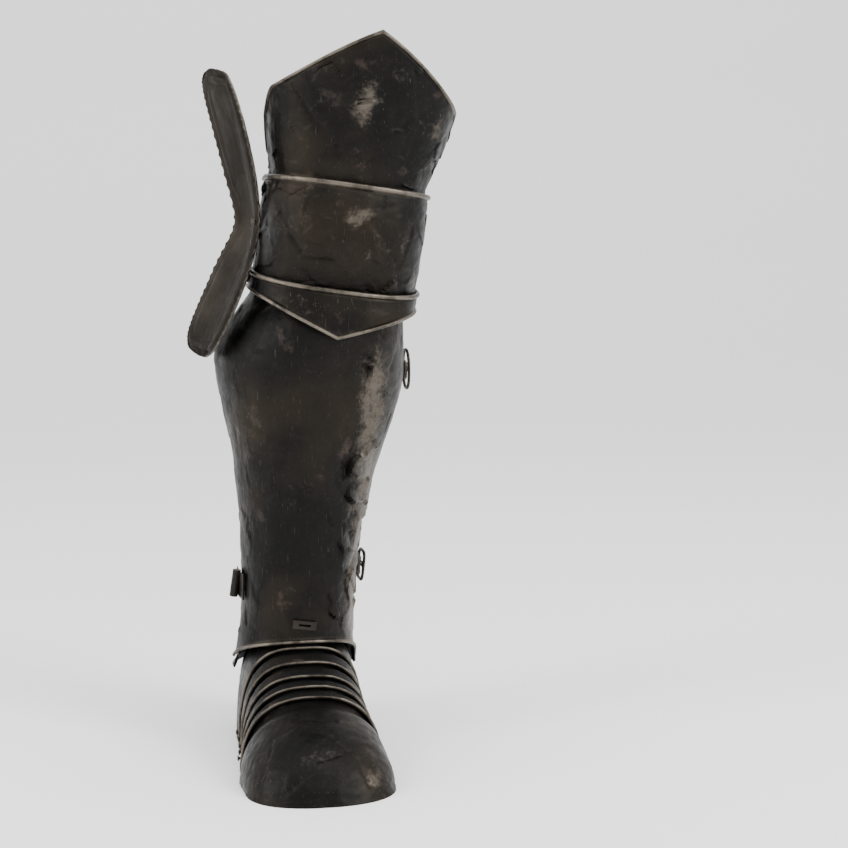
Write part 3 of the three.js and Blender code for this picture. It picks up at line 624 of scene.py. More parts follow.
def wing_edge_distance(p):
    q = np.sin(np.linspace(-1, 1, 320) * math.pi / 2)
    middle, half = wing_outline(q)
    z = WAIST_Z + np.where(q > 0, q * WING_UP, q * WING_DOWN)
    edge = np.concatenate([np.stack([middle - half, z], -1), np.stack([middle + half, z], -1)])
    flat = p[..., 1:].reshape(-1, 2)
    best = np.empty(len(flat))
    for start in range(0, len(flat), CHUNK):
        gap = flat[start : start + CHUNK, None] - edge[None]
        best[start : start + CHUNK] = np.sqrt((gap**2).sum(-1)).min(1)
    return best.reshape(p.shape[:-1])


def wing_relief(p, u, v):
    away = wing_edge_distance(p)
    across = v * 2 - 1
    q = np.sin(u * math.pi * WING_ARC)
    rim = 2.4 * rounded(1.0, np.minimum(np.abs(away - 2.6) / 2.6, 1))
    channel = -1.1 * np.exp(-((away - 8) / 2.2) ** 2)
    inner = 1.2 * np.exp(-((away - INNER_RIM) / 1.6) ** 2)
    fan = smooth(away, 13, 20) * smooth(np.abs(q), 0.08, 0.3)
    flutes = -1.3 * np.abs(np.sin(across * math.pi * FINE_FLUTES / 2)) * fan * np.where(q > 0, 1, 0.6)
    waist = -1.2 * np.exp(-((q / 0.035) ** 2)) * smooth(away, 0, 4)
    return rim + channel + inner + flutes + waist + 0.1 * small_dents(p)


def wing_worn(p, u, v):
    away = wing_edge_distance(p)
    rim = np.exp(-((away - 2.2) / 2.4) ** 2)
    inner = 0.8 * np.exp(-((away - INNER_RIM) / 1.3) ** 2)
    across = v * 2 - 1
    ridges = 0.5 * np.power(np.abs(np.cos(across * math.pi * FINE_FLUTES / 2)), 6) * smooth(away, 13, 18)
    return np.maximum.reduce([rim, inner, ridges, 0.25 + 0 * rim])


WING_VS = np.linspace(0, 1, 111)[:, None]
plate("side_wing", "knee_cop", lambda u, v: wing_surface(-u, v), slot="worn_steel",
      us=np.linspace(-1, 1, 181), rows=WING_VS, thickness=WING_PLATE,
      relief=lambda p, u, v: wing_relief(p, -u, v), worn=lambda p, u, v: wing_worn(p, -u, v))

# Sabaton. Columns: place along the foot, height as a share of the instep
INSTEP_ROWS = [
    (0.13, 1.02), (0.28, 0.93), (0.36, 0.84), (0.43, 0.76), (0.485, 0.7), (0.54, 0.64),
    (0.66, 0.56), (0.79, 0.455), (0.9, 0.31), (0.965, 0.15), (1, 0),
]
# Columns: place, half-width as a share of the foot's half-width, squareness of the section
SOLE_ROWS = [
    (0, 0.84, 3.4), (0.15, 0.84, 3.2), (0.25, 0.85, 3), (0.34, 0.87, 2.8), (0.43, 0.9, 2.6),
    (0.51, 0.94, 2.45), (0.64, 1, 2.35), (0.8, 0.97, 2.3),
]
EDGES = [(0.026, 0.13), (0.149, 0.28), (0.246, 0.36), (0.342, 0.43), (0.43, 0.485), (0.509, 0.54)]
LAP_SHARE = LAP / TOE_REACH
FOOT_LAYER = LAYER + 0.8
LAP_PART = 0.2
PLATE_RISE = 7
LAP_CLEAR = 2.0


def foot_point(u, sole_at, top_at, inset):
    angle = np.clip(u, -1, 1) * math.pi / 2
    power = through(SOLE_ROWS, 2, sole_at)
    side = np.sign(u) * np.power(np.abs(np.sin(angle)), 2 / power)
    up = np.power(np.maximum(np.cos(angle), 0), 2 / power)
    half = FOOT_WIDTH / 2 * through(SOLE_ROWS, 1, sole_at) - inset
    height = np.maximum(INSTEP * through(INSTEP_ROWS, 1, top_at) - inset, 0)
    return stack(half * side, -TOE_REACH * (sole_at + (top_at - sole_at) * up), height * up)


def foot_surface(rear, front, lap, swing=lambda share: share):
    def surface(u, v):
        hidden = np.clip(v / LAP_PART, 0, 1) if lap else np.ones_like(v)
        shown = np.clip((v - LAP_PART) / (1 - LAP_PART), 0, 1) if lap else v
        sole_at = rear[0] + (front[0] - rear[0]) * shown - lap * (1 - hidden)
        top_at = rear[1] + (front[1] - rear[1]) * swing(shown) - lap * (1 - hidden)
        past = shown * (front[0] - rear[0]) * TOE_REACH
        rise = smooth(past, LAP_CLEAR, LAP_CLEAR + PLATE_RISE)
        return foot_point(-u, sole_at, top_at, FOOT_LAYER * (1 - rise) if lap else 0 * v)

    return surface


def lame_worn_foot(p, u, v):
    return 0.08 + 0.25 * smooth(v, 0.75, 1.0)


def foot_dents(p, u, v):
    return 0.12 * small_dents(p)


FOOT_PLATES = ["ankle_lame", "foot_lame_1", "foot_lame_2", "foot_lame_3", "foot_lame_4"]
for i, name in enumerate(FOOT_PLATES):
    plate(name, name if i else "greave", foot_surface(EDGES[i], EDGES[i + 1], LAP_SHARE if i else 0),
          us=np.linspace(-1, 1, 101), rows=band(24, end=BEAD * 0.55, bead_rows=6), place=on_foot,
          relief=foot_dents, worn=lame_worn_foot, floor=0)


def toe_relief(p, u, v):
    shown = smooth(v, 0.25, 0.4)
    lines = creased(p, ([(-52, 22), (-40, 46), (-12, 58), (16, 56)], 5, 1.1),
                    ([(-30, 14), (-6, 34), (22, 38)], 6, 0.9), ([(40, 12), (30, 34), (8, 50)], 6, 0.8))
    return (lines + 0.2 * dents(p) + 0.16 * small_dents(p)) * shown


def toe_worn(p, u, v):
    return spots(p, 0.15, (0.7, 44, 18, 14, 12), (0.5, 0, 36, 30, 10, 0.2), (0.5, -48, 22, 10, 24))


TOE_SOLE = 0.78
TOE_VS = np.concatenate([np.linspace(0, LAP_PART, 5)[:-1], np.linspace(LAP_PART, 1, 96)])[:, None]
plate("toe_cap", "toe_cap",
      foot_surface(EDGES[-1], (TOE_SOLE, 1), LAP_SHARE, lambda share: np.sin(share * math.pi / 2)),
      us=np.linspace(-1, 1, 131), rows=TOE_VS, place=on_foot, relief=toe_relief, worn=toe_worn, floor=0)

HEEL_TOP = 84
HEEL_TURN = 0.84
HEEL_POWER = 2.3


def heel_surface(u, v):
    z = v * HEEL_TOP
    share = np.abs(u)
    angle = np.minimum(share / HEEL_TURN, 1) * math.pi / 2
    forward = TOE_REACH * (EDGES[0][0] + (EDGES[0][1] - EDGES[0][0]) * z / INSTEP) + LAP
    ahead = np.clip((share - HEEL_TURN) / (1 - HEEL_TURN), 0, 1) * forward
    half = FOOT_WIDTH / 2 * SOLE_ROWS[0][1] * arch(z / INSTEP, SOLE_ROWS[0][2]) - LAYER - REST_GAP
    rear = HEEL_BACK - 14 * np.power(v, 1.2)
    x = np.sign(u) * half * np.power(np.sin(angle), 2 / HEEL_POWER)
    return stack(x, rear * np.power(np.maximum(np.cos(angle), 0), 2 / HEEL_POWER) - ahead, z)


plate("heel_plate", "greave", lambda u, v: heel_surface(-u, v), us=np.linspace(-1, 1, 101),
      rows=band(40, start=BEAD * 0.7), place=on_foot, relief=foot_dents,
      fade=lambda u: 1 - smooth(np.abs(u), 0.7, 0.8), floor=0)

# Leather and buckles
REST_LIFT = 1.1
STRAP_FROM = INNER_SEAM - 0.42
STRAP_TO = INNER_SEAM + 0.4
WIRE = 1.5
# Edges sharper than this stay sharp on bars and turned pieces
BAR_ANGLE = 50
# Columns: name, share of the shin below the knee, buckle's half-width and half-height
CLOSURES = [("upper", 0.318, 12, 19), ("lower", 0.795, 12, 14)]


def ring_normal(turn, z):
    turns = np.array([turn - STEP, turn + STEP, turn, turn])
    levels = np.array([z, z, z - 1, z + 1], float)
    a, b, c, d = ring(turns, levels, 0)
    normal = np.cross(b - a, d - c)
    return normal / np.linalg.norm(normal)


def strap_band(z):
    def surface(u, v):
        turn = STRAP_FROM + (STRAP_TO - STRAP_FROM) * (u + 1) / 2
        step = smooth(turn, INNER_SEAM + 0.02, INNER_SEAM + 0.14)
        end = 1 - 0.35 * smooth(np.abs(u), 0.93, 1.0)
        level = z + (v - 0.5) * STRAP_WIDTH * end
        return ring(turn, level, -(REST_LIFT + LEATHER) + BACK_INSET * step)

    return surface


KNEE_STRAP_Z = -4
KNEE_STRAP_REAR = 46
STRAP_ROOT = 24
STRAP_SET = 2.0
STRAP_TURN = 0.86
STRAP_POWER = 2.4
STRAP_ENDS = 18
ROUNDING = 0.9


def knee_strap(u, v):
    share = np.abs(u)
    half = COP_HALF - PLATE - STRAP_SET
    angle = np.minimum(share / STRAP_TURN, 1) * math.pi / 2
    ahead = np.clip((share - STRAP_TURN) / (1 - STRAP_TURN), 0, 1) * STRAP_ENDS
    x = half * np.power(np.sin(angle), 2 / STRAP_POWER) - ahead * 0.015
    y = STRAP_ROOT + KNEE_STRAP_REAR * np.power(np.maximum(np.cos(angle), 0), 2 / STRAP_POWER) - ahead
    sag = -3 * np.cos(angle)
    return stack(np.sign(u) * x, y, KNEE_STRAP_Z + sag + (v - 0.5) * KNEE_STRAP_WIDTH)


def leather_rows(count):
    """Rows over a strap, rounded down at both edges."""
    edge = np.linspace(0, 1, 5)
    rows = [(ROUNDING * s, 0, -0.7 * (1 - s) ** 2, 1 - s) for s in edge]
    rows += [(ROUNDING - 2 * ROUNDING * i / count, i / count, 0, 0) for i in range(1, count)]
    rows += [(-ROUNDING * s, 1, -0.7 * (1 - s) ** 2, 1 - s) for s in edge[::-1]]
    return np.array(rows)


creases = waves(8, 9)


def leather_relief(p, u, v):
    return 0.12 * creases(p) + 0.1 * small_dents(p)


def tube(name, paths, sides=12):
    """Round bars joined in one piece: each is (points, radii, closed)."""
    points, quads = [], []
    for path, radii, closed in paths:
        path = np.array(path, float)
        count = len(path)
        radii = np.broadcast_to(np.array(radii, float), (count,))
        ahead = np.roll(path, -1, 0) - np.roll(path, 1, 0)
        if not closed:
            ahead[0], ahead[-1] = path[1] - path[0], path[-1] - path[-2]
        ahead /= np.linalg.norm(ahead, axis=1)[:, None]
        guide = np.cross(path[1] - path[0], path[-1] - path[0]) if closed else np.array([0.3, 0.2, 1.0])
        guide = guide / max(np.linalg.norm(guide), 1e-9)
        first = len(points)
        for centre, radius, forward in zip(path, radii, ahead):
            across = np.cross(forward, guide)
            across /= np.linalg.norm(across)
            up = np.cross(across, forward)
            for k in range(sides):
                angle = 2 * math.pi * k / sides
                points.append(centre + radius * (math.cos(angle) * across + math.sin(angle) * up))
        last = count if closed else count - 1
        for i in range(last):
            for k in range(sides):
                a, b = first + i * sides + k, first + i * sides + (k + 1) % sides
                c, d = first + (i + 1) % count * sides + (k + 1) % sides, first + (i + 1) % count * sides + k
                quads.append((a, b, c, d))
        if not closed:
            quads.append(tuple(first + k for k in range(sides))[::-1])
            quads.append(tuple(first + (count - 1) * sides + k for k in range(sides)))
    return build(name, np.array(points) * MM, quads, {}, BAR_ANGLE)


def outward_normals(obj):
    mesh = bmesh.new()
    mesh.from_mesh(obj.data)
    bmesh.ops.recalc_face_normals(mesh, faces=mesh.faces)
    mesh.to_mesh(obj.data)
    mesh.free()
    return obj


def buckle(name, place, outward, half_width, half_height, squareness, body, nodes, onto):
    axis = np.cross([0, 0, 1], outward)
    axis /= np.linalg.norm(axis)
    upright = np.cross(outward, axis)
    angles = np.linspace(0, 2 * math.pi, 49)[:-1]
    bent = lambda s: np.sign(s) * abs(s) ** (2 / squareness)
    frame_path = [place + axis * half_width * bent(math.cos(t)) + upright * half_height * bent(math.sin(t))
                  for t in angles]
    bar = [place + axis * half_width * s for s in (-1, -0.5, 0, 0.5, 1)]
    tongue_length = half_width * 1.05
    tongue = [place + upright * 1.0 + axis * (-0.15 * tongue_length + tongue_length * s)
              + outward * (1.6 + 0.5 * math.sin(s * math.pi)) for s in np.linspace(0, 1, 9)]
    paths = [(onto(np.array(frame_path)), WIRE, True), (onto(np.array(bar)), WIRE * 0.8, False),
             (onto(np.array(tongue)), np.linspace(1.2, 0.7, 9), False)]
    obj = outward_normals(tube(name, paths))
    return made(name, obj, body, nodes)


LEATHERS, BUCKLES = [], []
for label, share, half_width, half_height in CLOSURES:
    z = -share * SHIN
    strap = shell(f"look_strap_{label}", strap_band(z), np.linspace(-1, 1, 81), leather_rows(14),
                  LEATHER, on_leg, relief=leather_relief)
    LEATHERS.append(made(strap.name, strap, "greave", [f"strap_{label}"]))
    turn = INNER_SEAM - 0.14
    outward = ring_normal(turn, z)
    place = ring(np.array(turn), np.array(z - 3.0), 0) + outward * (REST_LIFT + LEATHER + WIRE + 1.1)
    squareness = 2.3 if label == "upper" else 4
    BUCKLES.append(buckle(f"look_buckle_{label}", place, outward, half_width, half_height, squareness,
                          "greave", [f"buckle_{label}"], on_leg))

band_obj = shell("look_knee_strap", lambda u, v: knee_strap(-u, v), np.linspace(-1, 1, 161),
                 leather_rows(20), LEATHER, on_leg, relief=leather_relief)
LEATHERS.append(made(band_obj.name, band_obj, "knee_cop", ["knee_strap"]))
side_at, fore, aft = (knee_strap(np.array(s), np.array(0.5)) for s in (0.42, 0.45, 0.39))
along = fore - aft
buckle_out = np.array([-along[1], along[0], 0]) / np.linalg.norm(along[:2])
buckle_out *= np.sign(buckle_out[1])
BUCKLES.append(buckle("look_knee_buckle", side_at + buckle_out * (WIRE + 1.2), buckle_out, 11, 19, 4,
                      "knee_cop", ["knee_buckle"], on_leg))


# Repeats: a template placed at each point, turned to the point's axis
def feed(tree, socket, value):
    if isinstance(value, bpy.types.NodeSocket):
        tree.links.new(value, socket)
    else:
        socket.default_value = value


def group_sockets(tree, direction, kinds):
    for key, kind in kinds:
        tree.interface.new_socket(key, in_out=direction, socket_type="NodeSocket" + kind)


def node(tree, kind, settings=None, **inputs):
    """A node with its settings and inputs, by name or, as i0 or i1, by number."""
    made_node = tree.nodes.new(kind)
    for key, value in (settings or {}).items():
        setattr(made_node, key, value)
    for key, value in inputs.items():
        feed(tree, made_node.inputs[int(key[1:]) if key[0] == "i" and key[1:].isdigit() else key], value)
    return made_node


def placing_group():
    tree = bpy.data.node_groups.new("place_at_points", "GeometryNodeTree")
    group_sockets(tree, "INPUT", (("Points", "Geometry"), ("Template", "Object"), ("Finish", "Material"),
                                  ("Variation", "Float"), ("Seed", "Int")))
    group_sockets(tree, "OUTPUT", (("Pieces", "Geometry"),))
    given = tree.nodes.new("NodeGroupInput")
    info = node(tree, "GeometryNodeObjectInfo", Object=given.outputs["Template"])
    axis = node(tree, "GeometryNodeInputNamedAttribute", {"data_type": "FLOAT_VECTOR"}, Name="axis")
    size = node(tree, "GeometryNodeInputNamedAttribute", {"data_type": "FLOAT"}, Name="size")
    align = node(tree, "FunctionNodeAlignRotationToVector", {"axis": "Z"}, Vector=axis.outputs["Attribute"])
    low = node(tree, "ShaderNodeMath", {"operation": "SUBTRACT"}, i0=1.0, i1=given.outputs["Variation"])
    high = node(tree, "ShaderNodeMath", {"operation": "ADD"}, i0=1.0, i1=given.outputs["Variation"])
    spread = node(tree, "FunctionNodeRandomValue", {"data_type": "FLOAT"})
    floats = [s for s in spread.inputs if s.type == "VALUE" and s.name in ("Min", "Max")]
    tree.links.new(low.outputs[0], floats[0])
    tree.links.new(high.outputs[0], floats[1])
    tree.links.new(given.outputs["Seed"], spread.inputs["Seed"])
    value = next(s for s in spread.outputs if s.type == "VALUE")
    scale = node(tree, "ShaderNodeMath", {"operation": "MULTIPLY"}, i0=size.outputs["Attribute"], i1=value)
    placed = node(tree, "GeometryNodeInstanceOnPoints", Points=given.outputs["Points"],
                  Instance=info.outputs["Geometry"], Rotation=align.outputs["Rotation"],
                  Scale=scale.outputs[0])
    real = node(tree, "GeometryNodeRealizeInstances", Geometry=placed.outputs["Instances"])
    finish = node(tree, "GeometryNodeSetMaterial", Geometry=real.outputs["Geometry"],
                  Material=given.outputs["Finish"])
    result = tree.nodes.new("NodeGroupOutput")
    tree.links.new(finish.outputs["Geometry"], result.inputs["Pieces"])
    return tree


PLACING = placing_group()


def lathe(name, profile, sides=20):
    points, quads = [], []
    for radius, height in profile[1:-1]:
        turns = [2 * math.pi * k / sides for k in range(sides)]
        points += [(radius * math.cos(turn), radius * math.sin(turn), height) for turn in turns]
    rings = len(profile) - 2
    for i in range(rings - 1):
        for k in range(sides):
            a, b = i * sides + k, i * sides + (k + 1) % sides
            quads.append((a, b, b + sides, a + sides))
    bottom, top = len(points), len(points) + 1
    points += [(0, 0, profile[0][1]), (0, 0, profile[-1][1])]
    for k in range(sides):
        quads.append((bottom, (k + 1) % sides, k))
        base = (rings - 1) * sides
        quads.append((top, base + k, base + (k + 1) % sides))
    return outward_normals(build(name, np.array(points) * MM, quads, {}, BAR_ANGLE))


def repeat(name, template, places, axes, sizes, finish, body, nodes, variation=0.06, seed=7):
    mesh = bpy.data.meshes.new(name + "_points")
    mesh.from_pydata([tuple(p) for p in np.array(places) * MM], [], [])
    layer = mesh.attributes.new("axis", "FLOAT_VECTOR", "POINT")
    layer.data.foreach_set("vector", np.array(axes, np.float32).ravel())
    layer = mesh.attributes.new("size", "FLOAT", "POINT")
    layer.data.foreach_set("value", np.array(sizes, np.float32))
    holder = bpy.data.objects.new(name + "_points", mesh)
    bpy.context.scene.collection.objects.link(holder)
    modifier = holder.modifiers.new("place", "NODES")
    modifier.node_group = PLACING
    values = {"Template": template, "Finish": finish, "Variation": variation, "Seed": seed}
    for item in PLACING.interface.items_tree:
        if item.in_out == "INPUT" and item.name in values:
            modifier[item.identifier] = values[item.name]
    bpy.context.view_layer.update()
    graph = bpy.context.evaluated_depsgraph_get()
    whole = bpy.data.meshes.new_from_object(holder.evaluated_get(graph))
    obj = bpy.data.objects.new(name, whole)
    bpy.context.scene.collection.objects.link(obj)
    bpy.data.objects.remove(holder)
    return made(name, obj, body, nodes)


# Materials
def value_range(tree, value, low, high, to_low=0.0, to_high=1.0):
    made_node = node(tree, "ShaderNodeMapRange", {"interpolation_type": "SMOOTHSTEP"}, Value=value)
    for key, number in (("From Min", low), ("From Max", high), ("To Min", to_low), ("To Max", to_high)):
        made_node.inputs[key].default_value = number
    return made_node.outputs["Result"]


def noise(tree, where, scale, detail=4.0, rough=0.55):
    made_node = node(tree, "ShaderNodeTexNoise", Vector=where, Scale=scale, Detail=detail, Roughness=rough)
    return made_node.outputs["Fac"]


def math_node(tree, operation, a, b=0.0, clamp=False):
    return node(tree, "ShaderNodeMath", {"operation": operation, "use_clamp": clamp}, i0=a, i1=b).outputs[0]


def mix_colour(tree, share, a, b):
    made_node = tree.nodes.new("ShaderNodeMix")
    made_node.data_type = "RGBA"
    for place, value in ((0, share), (6, a), (7, b)):
        feed(tree, made_node.inputs[place], value)
    return made_node.outputs[2]


def scratches(tree, where, stretch, turn, low, high):
    """Thin lines along one direction: a noise stretched out and cut at a level."""
    mapped = node(tree, "ShaderNodeMapping", {"vector_type": "POINT"}, Vector=where, Rotation=turn,
                  Scale=stretch)
    lines = noise(tree, mapped.outputs["Vector"], 1.0, 3.0, 0.6)
    return value_range(tree, lines, low, high)


RUST = (0.03, 0.014, 0.007, 1)
# Near black for the plates' inner faces: painted shade standing for the shadow inside the plates
INSIDE_PAINTED_SHADE = (0.004, 0.0035, 0.003, 1)


def steel_group():
    tree = bpy.data.node_groups.new("blackened_steel", "ShaderNodeTree")
    group_sockets(tree, "INPUT", (("Dark", "Color"), ("Tint", "Color"), ("Bright", "Color"),
                                  ("Wear", "Float"), ("Grain", "Float")))
    group_sockets(tree, "OUTPUT", (("Colour", "Color"), ("Roughness", "Float"), ("Metal", "Float"),
                                   ("Height", "Float")))
    given = tree.nodes.new("NodeGroupInput").outputs
    times, plus, minus, most = (lambda a, b, kind=kind: math_node(tree, kind, a, b)
                                for kind in ("MULTIPLY", "ADD", "SUBTRACT", "MAXIMUM"))
    where = tree.nodes.new("ShaderNodeTexCoord").outputs["Object"]
    rim, worn, inside = (node(tree, "ShaderNodeAttribute", {"attribute_name": key}).outputs["Fac"]
                         for key in ("rim", "worn", "inside"))
    broad = noise(tree, where, 7.0, 3.0)
    middle = noise(tree, where, 48.0, 6.0, 0.65)
    fine = noise(tree, where, 260.0, 5.0, 0.7)
    upright = scratches(tree, where, (900, 900, 45), (0.25, 0.4, 0), 0.66, 0.74)
    slanted = scratches(tree, where, (700, 700, 28), (0.9, -0.7, 0.3), 0.67, 0.75)
    lines = most(upright, slanted)
    pits = node(tree, "ShaderNodeTexVoronoi", {"feature": "F1"}, Vector=where, Scale=150.0)
    pit = value_range(tree, pits.outputs["Distance"], 0.16, 0.05)
    pit = times(pit, value_range(tree, middle, 0.5, 0.62))
    spread = plus(times(worn, given["Wear"]), times(minus(middle, 0.5), 1.3))
    flaked = value_range(tree, plus(spread, times(fine, 0.9)), 0.75, 1.35)
    flaked = times(flaked, value_range(tree, worn, 0.0, 0.4))
    edge = times(rim, value_range(tree, middle, 0.36, 0.58, 0.25, 1.0))
    marks = times(lines, value_range(tree, worn, 0.0, 0.6, 0.3, 1.0))
    bright = most(most(times(edge, 0.6), times(flaked, 0.4)), times(marks, 0.55))
    bright = times(bright, minus(1.0, times(inside, 0.8)))
    ground = mix_colour(tree, value_range(tree, broad, 0.42, 0.66), given["Dark"], given["Tint"])
    ground = mix_colour(tree, value_range(tree, fine, 0.5, 0.72, 0.0, 0.35), ground, given["Tint"])
    colour = mix_colour(tree, bright, ground, given["Bright"])
    rust = times(value_range(tree, noise(tree, where, 30.0, 5.0, 0.7), 0.58, 0.7), 0.4)
    colour = mix_colour(tree, rust, colour, RUST)
    # Inner faces mixed towards near black: painted shade inside the plates
    colour = mix_colour(tree, times(inside, 0.7), colour, INSIDE_PAINTED_SHADE)
    rough = minus(value_range(tree, middle, 0.3, 0.7, 0.36, 0.56), times(bright, 0.14))
    rough = math_node(tree, "ADD", rough, times(inside, 0.25), True)
    metal = minus(0.95, times(rust, 0.8))
    height = plus(times(times(fine, 0.35), given["Grain"]), times(middle, 0.9))
    height = minus(minus(height, times(lines, 0.22)), times(pit, 0.5))
    result = tree.nodes.new("NodeGroupOutput")
    for key, socket in (("Colour", colour), ("Roughness", rough), ("Metal", metal), ("Height", height)):
        tree.links.new(socket, result.inputs[key])
    return tree


STEEL = steel_group()


def steel(name, dark, tint, bright, wear, grain, relief):
    material = bpy.data.materials.new(name)
    material.use_nodes = True
    tree = material.node_tree
    shader = tree.nodes["Principled BSDF"]
    look = tree.nodes.new("ShaderNodeGroup")
    look.node_tree = STEEL
    for key, value in (("Dark", (*dark, 1)), ("Tint", (*tint, 1)), ("Bright", (*bright, 1)), ("Wear", wear),
                       ("Grain", grain)):
        look.inputs[key].default_value = value
    bump = node(tree, "ShaderNodeBump", Height=look.outputs["Height"])
    bump.inputs["Strength"].default_value = relief
    bump.inputs["Distance"].default_value = 0.001
    tree.links.new(look.outputs["Colour"], shader.inputs["Base Color"])
    tree.links.new(look.outputs["Roughness"], shader.inputs["Roughness"])
    tree.links.new(look.outputs["Metal"], shader.inputs["Metallic"])
    tree.links.new(bump.outputs["Normal"], shader.inputs["Normal"])
    return material


def leather_material():
    material = bpy.data.materials.new("black_leather")
    material.use_nodes = True
    tree = material.node_tree
    shader = tree.nodes["Principled BSDF"]
    where = tree.nodes.new("ShaderNodeTexCoord").outputs["Object"]
    rim = node(tree, "ShaderNodeAttribute", {"attribute_name": "rim"}).outputs["Fac"]
    cells = node(tree, "ShaderNodeTexVoronoi", {"feature": "DISTANCE_TO_EDGE"}, Vector=where, Scale=900.0)
    grain = value_range(tree, cells.outputs["Distance"], 0.0, 0.25)
    cloud = noise(tree, where, 60.0, 5.0, 0.6)
    worn = math_node(tree, "MULTIPLY", rim, value_range(tree, cloud, 0.35, 0.6))
    colour = mix_colour(tree, cloud, (0.008, 0.006, 0.005, 1), (0.024, 0.018, 0.014, 1))
    colour = mix_colour(tree, worn, colour, (0.075, 0.048, 0.03, 1))
    height = math_node(tree, "ADD", grain, math_node(tree, "MULTIPLY", cloud, 2.0))
    bump = node(tree, "ShaderNodeBump", Height=height)
    bump.inputs["Strength"].default_value = 0.35
    bump.inputs["Distance"].default_value = 0.0004
    tree.links.new(colour, shader.inputs["Base Color"])
    tree.links.new(value_range(tree, cloud, 0.3, 0.7, 0.5, 0.75), shader.inputs["Roughness"])
    tree.links.new(bump.outputs["Normal"], shader.inputs["Normal"])
    return material


BLACK = steel("black_steel_look", (0.009, 0.0088, 0.0085), (0.02, 0.016, 0.012), (0.21, 0.18, 0.145),
              wear=0.8, grain=1.2, relief=0.75)
WORN = steel("worn_steel_look", (0.065, 0.055, 0.046), (0.14, 0.118, 0.096), (0.6, 0.56, 0.5),
             wear=1.0, grain=1.0, relief=0.7)
FITTING = steel("fitting_look", (0.02, 0.018, 0.016), (0.05, 0.042, 0.034), (0.3, 0.29, 0.27),
                wear=0.8, grain=0.8, relief=0.4)
HIDE = leather_material()

THREAD = bpy.data.materials.new("thread")
THREAD.use_nodes = True
thread_tree = THREAD.node_tree
thread_cloud = noise(thread_tree, thread_tree.nodes.new("ShaderNodeTexCoord").outputs["Object"], 300.0)
thread_colour = mix_colour(thread_tree, thread_cloud, (0.03, 0.024, 0.018, 1), (0.09, 0.07, 0.05, 1))
thread_shader = thread_tree.nodes["Principled BSDF"]
thread_tree.links.new(thread_colour, thread_shader.inputs["Base Color"])
thread_shader.inputs["Roughness"].default_value = 0.8


def paint(obj, material):
    obj.data.materials.clear()
    obj.data.materials.append(material)


for name, obj in PIECES.items():
    paint(obj, WORN if name == "side_wing" else BLACK)
for obj in LEATHERS:
    paint(obj, HIDE)
for obj in BUCKLES:
    paint(obj, FITTING)
for name in ("greave_hinge", "front_staple"):
    paint(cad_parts[name], FITTING)
    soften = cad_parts[name].modifiers.new("soften", "BEVEL")
    soften.width, soften.segments, soften.limit_method = 0.35 * MM, 2, "ANGLE"
    soften.angle_limit = math.radians(35)

# Rivets: a domed head at the outer end of each of the CAD's rivets, and a washer at its inner end
HEAD_RISE = 2.0
WASHER_RISE = 1.2
DOME = [
    (0, -4.0), (2.2, -4.0), (2.2, 0), (4.6, 0), (4.75, 0.35), (4.4, 1.1), (3.4, 1.75), (2.0, 2.15),
    (0.8, 2.3), (0, 2.32),
]
head_template = lathe("rivet_head", DOME)
RIVETS = {
    "greave": ["lame_pivot_outer", "lame_pivot_inner", "foot_pivot_1_outer", "foot_pivot_1_inner"],
    "knee_cop": ["top_pivot_outer", "top_pivot_inner", "wing_rivet_1", "wing_rivet_2", "wing_rivet_3",
                 "strap_rivet_inner"],
    "foot_lame_1": ["foot_pivot_2_outer", "foot_pivot_2_inner"],
    "foot_lame_2": ["foot_pivot_3_outer", "foot_pivot_3_inner"],
    "foot_lame_3": ["foot_pivot_4_outer", "foot_pivot_4_inner"],
    "foot_lame_4": ["foot_pivot_5_outer", "foot_pivot_5_inner"],
}
HEAD_RADII = {"foot": 2.7, "wing": 4.0, "strap": 4.0}
FULL_HEAD = 4.6
LEG_AXIS = LEG_TURN @ np.array([1.0, 0, 0])


def rivet_ends(name):
    """The outer head's seat, the inner washer's seat and the axis outwards, from the CAD node's vertices."""
    points = np.array([v.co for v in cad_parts[name].data.vertices]) / MM
    on_right = points.mean(0)[0] > (ANKLE if name.startswith("foot") else KNEE)[0]
    axis = (np.array([1.0, 0, 0]) if name.startswith("foot") else LEG_AXIS) * (1 if on_right else -1)
    along = points @ axis
    centre = points.mean(0)
    off = centre - axis * (centre @ axis)
    return off + axis * (along.max() - HEAD_RISE), off + axis * (along.min() + WASHER_RISE), axis


for body, names_here in RIVETS.items():
    places, axes, sizes = [], [], []
    for name in names_here:
        outer, inner, axis = rivet_ends(name)
        size = HEAD_RADII.get(name.split("_")[0], FULL_HEAD) / FULL_HEAD
        places += [outer, inner]
        axes += [axis, -axis]
        sizes += [size, size * 0.8]
    repeat(f"look_rivets_{body}", head_template, places, axes, sizes, FITTING, body, names_here,
           0.03)

# Stitches along both edges of each strap
STITCH = [(0, -1.15), (0.22, -1.05), (0.36, -0.5), (0.38, 0), (0.36, 0.5), (0.22, 1.05), (0, 1.15)]
stitch_template = lathe("stitch", STITCH, 8)
STITCH_STEP = 3.4
STITCH_INSET = 2.4


def stitch_line(surface, v, low=-0.97, high=0.97):
    us = np.linspace(low, high, 900)
    path = surface(us, np.full_like(us, v))
    walked = np.concatenate([[0], np.cumsum(np.linalg.norm(np.diff(path, axis=0), axis=1))])
    stops = np.arange(STITCH_STEP, walked[-1] - STITCH_STEP, STITCH_STEP)
    at = np.interp(stops, walked, us)
    here = surface(at, np.full_like(at, v))
    fore, aft = surface(at + 0.004, np.full_like(at, v)), surface(at - 0.004, np.full_like(at, v))
    along = fore - aft
    up = surface(at, np.full_like(at, min(v + 0.02, 1))) - surface(at, np.full_like(at, max(v - 0.02, 0)))
    normal = np.cross(along, up)
    normal /= np.linalg.norm(normal, axis=1)[:, None]
    return here + normal * 0.12, along / np.linalg.norm(along, axis=1)[:, None]


